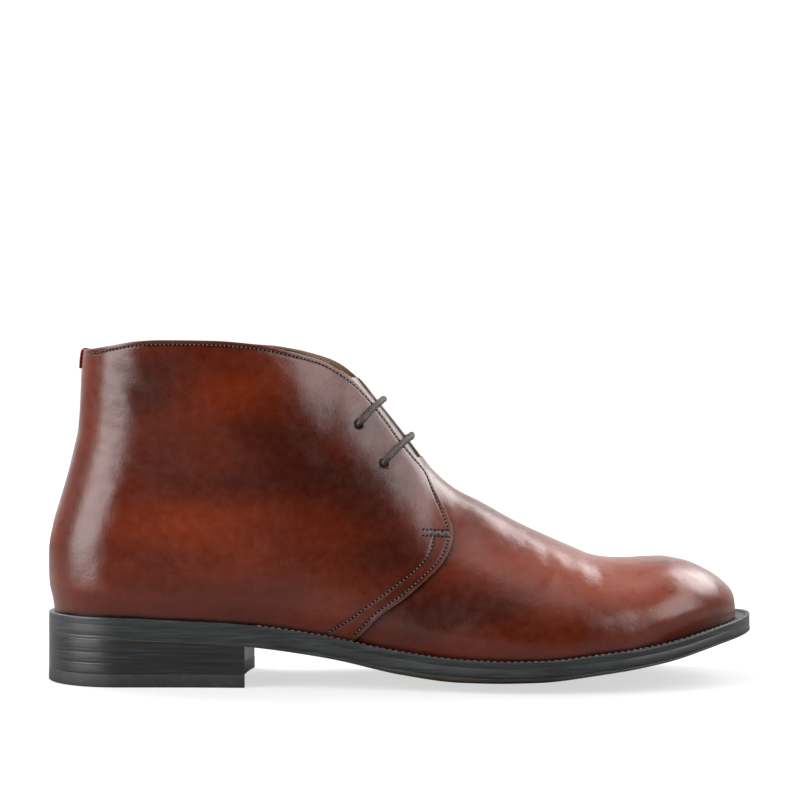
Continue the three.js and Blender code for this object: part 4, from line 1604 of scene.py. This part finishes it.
def make_lace(cord):
    """Bars over the facings, each end run down through its hole and stopped inside."""
    for row, name in ((0, "lace_bar_lower"), (1, "lace_bar_upper")):
        share_x, share_z = HOLE_ROWS[row]
        hole_x, hole_z = at_length(share_x), at_height(share_z)
        top_x = at_length(BAR_REACH[row])
        top_z = float(crest_height(top_x)[0])
        lift = QUARTER_STEP + LACE_DIAMETER / 2 + 0.25 * MM
        path = []
        for side in (-1, 1):
            half = []
            normal = surface_normal(np.array([hole_x]), np.array([hole_z]), side)[0]
            centre = on_last(hole_x, hole_z, side)[0]
            half.append(centre - normal * 2.6 * MM)
            half.append(centre - normal * 0.2 * MM)
            half.append(centre + normal * (QUARTER_STEP + 0.9 * MM) + np.array([0.5, 0, 0.7]) * MM)
            for i in range(1, 8):
                t = 1 - (1 - i / 7.6) ** 2
                x = hole_x + (top_x - hole_x) * t
                z = hole_z + (top_z - hole_z) * t
                normal = surface_normal(np.array([x]), np.array([z]), side)[0]
                half.append(on_last(x, z, side)[0] + normal * lift - np.array([0, 0, LACE_SAG * t**3]))
            path += half if side < 0 else half[::-1]
        piece = tube(name + "_cord", path, LACE_DIAMETER / 2, cord)
        belongs(piece, "waxed_cord", name)


# Materials


def linear(hex_colour):
    """sRGB hex to linear RGBA."""
    parts = [int(hex_colour[i:i + 2], 16) / 255 for i in (1, 3, 5)]
    parts = [p / 12.92 if p <= 0.04045 else ((p + 0.055) / 1.055) ** 2.4 for p in parts]
    return (*parts, 1.0)


def node(tree, kind, settings=None, **links):
    """Adds a node with its settings, and values or sockets for its inputs: i and a number for
    one known by its place, otherwise its name."""
    made = tree.nodes.new(kind)
    for key, value in (settings or {}).items():
        setattr(made, key, value)
    for key, value in links.items():
        socket = made.inputs[int(key[1:]) if key[1:].isdigit() else key.replace("_", " ")]
        if isinstance(value, bpy.types.NodeSocket):
            tree.links.new(value, socket)
        else:
            socket.default_value = value
    return made


def ramp(tree, factor, *stops):
    made = node(tree, "ShaderNodeValToRGB", None, Fac=factor)
    elements = made.color_ramp.elements
    while len(elements) < len(stops):
        elements.new(0.5)
    for element, (place, colour) in zip(elements, stops):
        element.position = place
        element.color = linear(colour)
    return made.outputs["Color"]


def started(name):
    material = bpy.data.materials.new(name)
    material.use_nodes = True
    tree = material.node_tree
    shader = tree.nodes["Principled BSDF"]
    where = node(tree, "ShaderNodeTexCoord").outputs["Object"]
    return material, tree, shader, where


def burnished_calf():
    """Aniline calf, hand burnished: red brown with dark and orange clouds, a fine pebble
    grain about 1 mm wide and a waxed gloss that is uneven."""
    material, tree, shader, where = started("burnished_calf")
    tone = node(tree, "ShaderNodeAttribute", {"attribute_name": "patina"}).outputs["Fac"]
    edge = node(tree, "ShaderNodeAttribute", {"attribute_name": "edges_and_painted_light"}).outputs["Fac"]
    brushed = node(tree, "ShaderNodeMapping", None, Vector=where, Scale=(22, 30, 44))
    clouds = node(tree, "ShaderNodeTexNoise", None, Vector=brushed.outputs["Vector"], Scale=1.0, Detail=4.0,
                  Roughness=0.5)
    mottle = node(tree, "ShaderNodeTexNoise", None, Vector=where, Scale=240.0, Detail=4.0, Roughness=0.6)
    base = node(tree, "ShaderNodeMath", {"operation": "MULTIPLY_ADD"}, i0=tone, i1=0.17, i2=0.29)
    with_clouds = node(tree, "ShaderNodeMath", {"operation": "MULTIPLY_ADD"},
                       i0=clouds.outputs["Fac"], i1=0.3, i2=base.outputs[0])
    with_mottle = node(tree, "ShaderNodeMath", {"operation": "MULTIPLY_ADD"},
                       i0=mottle.outputs["Fac"], i1=0.1, i2=with_clouds.outputs[0])
    colour = ramp(tree, with_mottle.outputs[0], (0.22, "#230702"), (0.37, "#3c0e01"), (0.5, "#561801"),
                  (0.64, "#722603"), (0.82, "#923f0c"))
    # The edges attribute paints light and shade. Above zero it mixes towards pale brown, the painted
    # highlight on the outer quarter's rim. Below zero it mixes towards near black: the painted shadow and
    # shade above the welt, along the sewn rows, on the vamp by the quarters' edges, on the inner rims, the
    # tongue and the hole rims, and also the dark cut ends of the heel tab.
    painted_shade_amount = node(tree, "ShaderNodeMath", {"operation": "MULTIPLY"}, i0=edge, i1=-1.0)
    with_rim_highlight = node(tree, "ShaderNodeMix", {"data_type": "RGBA"}, i0=edge, i6=colour,
                 i7=linear("#9c7764"))
    with_painted_shade = node(tree, "ShaderNodeMix", {"data_type": "RGBA"}, i0=painted_shade_amount.outputs[0],
                  i6=with_rim_highlight.outputs[2], i7=linear("#170b09"))
    tree.links.new(with_painted_shade.outputs[2], shader.inputs["Base Color"])
    pebble = node(tree, "ShaderNodeTexNoise", None, Vector=where, Scale=850.0, Detail=1.0)
    soft = node(tree, "ShaderNodeTexNoise", None, Vector=where, Scale=120.0, Detail=1.0)
    fine = node(tree, "ShaderNodeBump", None, Strength=0.22, Distance=0.00028, Height=pebble.outputs["Fac"])
    broad = node(tree, "ShaderNodeBump", None, Strength=0.35, Distance=0.0011, Height=soft.outputs["Fac"],
                 Normal=fine.outputs["Normal"])
    tree.links.new(broad.outputs["Normal"], shader.inputs["Normal"])
    gloss = node(tree, "ShaderNodeMapRange", None, Value=mottle.outputs["Fac"],
                 From_Min=0.3, From_Max=0.7, To_Min=0.26, To_Max=0.38)
    tree.links.new(gloss.outputs["Result"], shader.inputs["Roughness"])
    shader.inputs["IOR"].default_value = 1.5
    shader.inputs["Specular IOR Level"].default_value = 0.4
    shader.inputs["Coat Weight"].default_value = 0.25
    shader.inputs["Coat Roughness"].default_value = 0.3
    return material


def vegetable_tanned_lining():
    """Vegetable tanned kip lining: olive tan, dull, with faint darker clouds from wear."""
    material, tree, shader, where = started("vegetable_tanned_lining")
    clouds = node(tree, "ShaderNodeTexNoise", None, Vector=where, Scale=60.0, Detail=6.0, Roughness=0.6)
    colour = ramp(tree, clouds.outputs["Fac"], (0.3, "#3b2d15"), (0.55, "#52401f"), (0.75, "#66502a"))
    tree.links.new(colour, shader.inputs["Base Color"])
    grain = node(tree, "ShaderNodeTexNoise", None, Vector=where, Scale=1500.0, Detail=3.0)
    bump = node(tree, "ShaderNodeBump", None, Strength=0.2, Distance=0.00015, Height=grain.outputs["Fac"])
    tree.links.new(bump.outputs["Normal"], shader.inputs["Normal"])
    shader.inputs["Roughness"].default_value = 0.8
    shader.inputs["Specular IOR Level"].default_value = 0.25
    return material


def inked_sole_edge():
    """Sole leather with a trimmed, inked and waxed edge: slate grey, satin, with fine
    lengthwise lines. The underside shows the brown leather."""
    material, tree, shader, where = started("inked_sole_edge")
    under = node(tree, "ShaderNodeAttribute", {"attribute_name": "underside"}).outputs["Fac"]
    stretched = node(tree, "ShaderNodeMapping", None, Vector=where, Scale=(60, 60, 900))
    lines = node(tree, "ShaderNodeTexNoise", None, Vector=stretched.outputs["Vector"], Scale=1.0, Detail=5.0)
    colour = ramp(tree, lines.outputs["Fac"], (0.3, "#1b1c1d"), (0.5, "#27292a"), (0.72, "#393b3c"))
    wear = node(tree, "ShaderNodeTexNoise", None, Vector=where, Scale=90.0, Detail=5.0)
    brown = ramp(tree, wear.outputs["Fac"], (0.3, "#4a3524"), (0.7, "#75583c"))
    both = node(tree, "ShaderNodeMix", {"data_type": "RGBA"}, i0=under, i6=colour, i7=brown)
    tree.links.new(both.outputs[2], shader.inputs["Base Color"])
    bump = node(tree, "ShaderNodeBump", None, Strength=0.25, Distance=0.0002, Height=lines.outputs["Fac"])
    tree.links.new(bump.outputs["Normal"], shader.inputs["Normal"])
    shader.inputs["Roughness"].default_value = 0.42
    return material


def black_heel_edge():
    """Stacked leather heel, inked near black and waxed, with fine level lines."""
    material, tree, shader, where = started("black_heel_edge")
    stretched = node(tree, "ShaderNodeMapping", None, Vector=where, Scale=(50, 50, 1400))
    lines = node(tree, "ShaderNodeTexNoise", None, Vector=stretched.outputs["Vector"], Scale=1.0, Detail=6.0)
    colour = ramp(tree, lines.outputs["Fac"], (0.35, "#141414"), (0.6, "#222222"), (0.8, "#3a3a3a"))
    tree.links.new(colour, shader.inputs["Base Color"])
    bump = node(tree, "ShaderNodeBump", None, Strength=0.4, Distance=0.0002, Height=lines.outputs["Fac"])
    tree.links.new(bump.outputs["Normal"], shader.inputs["Normal"])
    shader.inputs["Roughness"].default_value = 0.36
    return material


def moulded_heel_rubber():
    """Vulcanised rubber top lift: dark brown grey, dull, faintly scuffed."""
    material, tree, shader, where = started("moulded_heel_rubber")
    scuffs = node(tree, "ShaderNodeTexNoise", None, Vector=where, Scale=260.0, Detail=6.0, Roughness=0.7)
    colour = ramp(tree, scuffs.outputs["Fac"], (0.35, "#1d1b1a"), (0.6, "#2b2927"), (0.8, "#4a4541"))
    tree.links.new(colour, shader.inputs["Base Color"])
    bump = node(tree, "ShaderNodeBump", None, Strength=0.3, Distance=0.0002, Height=scuffs.outputs["Fac"])
    tree.links.new(bump.outputs["Normal"], shader.inputs["Normal"])
    shader.inputs["Roughness"].default_value = 0.58
    return material


def dyed_thread():
    """Waxed linen thread dyed grey brown, with a slight glint."""
    material, tree, shader, where = started("dyed_thread")
    fuzz = node(tree, "ShaderNodeTexNoise", None, Vector=where, Scale=2500.0, Detail=2.0)
    colour = ramp(tree, fuzz.outputs["Fac"], (0.35, "#41322c"), (0.7, "#7d6c63"))
    tree.links.new(colour, shader.inputs["Base Color"])
    shader.inputs["Roughness"].default_value = 0.4
    return material


def painted_hole_shade():
    """Inside of the awl holes of a sewn row: painted shade, nearly black, without gloss."""
    material, tree, shader, where = started("painted_hole_shade")
    grain = node(tree, "ShaderNodeTexNoise", None, Vector=where, Scale=900.0, Detail=2.0)
    colour = ramp(tree, grain.outputs["Fac"], (0.35, "#0d0605"), (0.7, "#1d100c"))
    tree.links.new(colour, shader.inputs["Base Color"])
    shader.inputs["Roughness"].default_value = 0.95
    shader.inputs["Specular IOR Level"].default_value = 0.1
    return material


def natural_thread():
    """Waxed linen welt thread, left pale."""
    material, tree, shader, where = started("natural_thread")
    fuzz = node(tree, "ShaderNodeTexNoise", None, Vector=where, Scale=2500.0, Detail=2.0)
    colour = ramp(tree, fuzz.outputs["Fac"], (0.35, "#4f463a"), (0.7, "#877a66"))
    tree.links.new(colour, shader.inputs["Base Color"])
    shader.inputs["Roughness"].default_value = 0.6
    return material


def waxed_round_lace():
    """Round waxed cotton lace: grey brown, braided about 0.7 mm to a strand."""
    material, tree, shader, where = started("waxed_round_lace")
    strands = node(tree, "ShaderNodeTexVoronoi", None, Vector=where, Scale=1300.0)
    colour = ramp(tree, strands.outputs["Distance"], (0.1, "#54453f"), (0.5, "#382c28"), (0.9, "#1f1815"))
    tree.links.new(colour, shader.inputs["Base Color"])
    bump = node(tree, "ShaderNodeBump", {"invert": True}, Strength=0.8, Distance=0.0003,
                Height=strands.outputs["Distance"])
    tree.links.new(bump.outputs["Normal"], shader.inputs["Normal"])
    shader.inputs["Roughness"].default_value = 0.62
    return material


def make_boot():
    calf = burnished_calf()
    lining = vegetable_tanned_lining()
    make_vamp(calf)
    make_quarter("quarter_outer", -1, calf)
    make_quarter("quarter_inner", 1, calf)
    make_quarter_lining("lining_outer", -1, lining)
    make_quarter_lining("lining_inner", 1, lining)
    make_vamp_lining(lining)
    make_hole_rims(calf)
    make_tongue(calf)
    make_heel_tab(calf)
    make_sock(lining)
    edge = inked_sole_edge()
    make_welt(edge)
    make_outsole(edge)
    make_heel(black_heel_edge(), moulded_heel_rubber())
    make_stitches(dyed_thread(), natural_thread(), painted_hole_shade())
    make_lace(waxed_round_lace())


# Studio


def make_floor():
    deselect()
    bpy.ops.mesh.primitive_plane_add(size=12, location=(0, 2.5, -0.05 * MM))
    bpy.ops.object.transform_apply(location=True, rotation=True, scale=True)
    floor = named("floor")
    material, tree, shader, where = started("matt_paper")
    shader.inputs["Base Color"].default_value = linear("#8e8e8e")
    shader.inputs["Roughness"].default_value = 0.9
    shader.inputs["Specular IOR Level"].default_value = 0.1
    shader.inputs["Emission Color"].default_value = (1, 1, 1, 1)
    seen = node(tree, "ShaderNodeLightPath").outputs["Is Camera Ray"]
    away = node(tree, "ShaderNodeVectorMath", {"operation": "LENGTH"}, i0=where)
    spread = node(tree, "ShaderNodeMapRange", {"interpolation_type": "SMOOTHSTEP"},
                  Value=away.outputs["Value"], From_Min=0.25, From_Max=0.9, To_Min=0.62, To_Max=1.0)
    glow = node(tree, "ShaderNodeMix", {"data_type": "FLOAT"}, i0=seen, i2=0.0, i3=spread.outputs["Result"])
    tree.links.new(glow.outputs[0], shader.inputs["Emission Strength"])
    floor.data.materials.append(material)


def soft_box(name, place, target, width, height, power):
    light = bpy.data.lights.new(name, "AREA")
    light.shape = "RECTANGLE"
    light.size = width
    light.size_y = height
    light.energy = power
    lamp = bpy.data.objects.new(name, light)
    bpy.context.collection.objects.link(lamp)
    lamp.location = place
    aim = Vector(target) - Vector(place)
    lamp.rotation_euler = aim.to_track_quat("-Z", "Y").to_euler()


def make_studio():
    world = bpy.data.worlds.new("white_studio")
    bpy.context.scene.world = world
    world.use_nodes = True
    tree = world.node_tree
    sky = tree.nodes["Background"]
    direction = node(tree, "ShaderNodeTexCoord").outputs["Generated"]
    way = node(tree, "ShaderNodeSeparateXYZ", None, Vector=direction)
    front = node(tree, "ShaderNodeMapRange", {"interpolation_type": "SMOOTHSTEP"},
                 Value=way.outputs["Y"], From_Min=-0.85, From_Max=-0.3, To_Min=0.0, To_Max=0.3)
    back = node(tree, "ShaderNodeMapRange", {"interpolation_type": "SMOOTHSTEP"},
                Value=way.outputs["Y"], From_Min=0.55, From_Max=0.95, To_Min=0.0, To_Max=0.8)
    both = node(tree, "ShaderNodeMath", {"operation": "ADD"},
                i0=front.outputs["Result"], i1=back.outputs["Result"])
    seen = node(tree, "ShaderNodeLightPath").outputs["Is Camera Ray"]
    strength = node(tree, "ShaderNodeMix", {"data_type": "FLOAT"}, i0=seen, i2=both.outputs[0], i3=1.1)
    tree.links.new(strength.outputs[0], sky.inputs["Strength"])
    sky.inputs["Color"].default_value = (1, 1, 1, 1)
    middle = (0.11, 0, 0.06)
    soft_box("overhead", (0.15, 0.0, 1.0), middle, 1.0, 0.5, 3)
    soft_box("left", (-0.83, -0.53, 0.4), middle, 0.85, 0.9, 16)
    soft_box("right", (0.95, -0.4, 0.55), middle, 0.8, 0.8, 9)
    soft_box("back_left", (-0.6, 0.55, 0.75), middle, 0.5, 0.5, 12)
    soft_box("back_right", (0.85, 0.55, 0.75), middle, 0.8, 0.6, 10)
    bpy.context.scene.view_settings.view_transform = "Standard"


# Camera, from the photograph's scale of 2.3 pixels to the millimetre at the boot
PHOTO_WIDTH = 800
PIXELS_PER_MM = 2.3
CAMERA_DISTANCE = 1.0
SENSOR = 36.0
HORIZON_ROW = 375
CAMERA_X = 108.7 * MM
CAMERA_HEIGHT = 131.3 * MM


def make_camera():
    data = bpy.data.cameras.new("photo_view")
    camera = bpy.data.objects.new("photo_view", data)
    bpy.context.collection.objects.link(camera)
    data.sensor_width = SENSOR
    data.lens = PIXELS_PER_MM * CAMERA_DISTANCE / MM / PHOTO_WIDTH * SENSOR
    data.shift_y = (HORIZON_ROW - PHOTO_WIDTH / 2) / PHOTO_WIDTH
    data.clip_start = 0.05
    data.clip_end = 30
    camera.location = (CAMERA_X, -CAMERA_DISTANCE, CAMERA_HEIGHT)
    camera.rotation_euler = (math.radians(90), 0, 0)
    bpy.context.scene.camera = camera


make_boot()
make_floor()
make_studio()
make_camera()
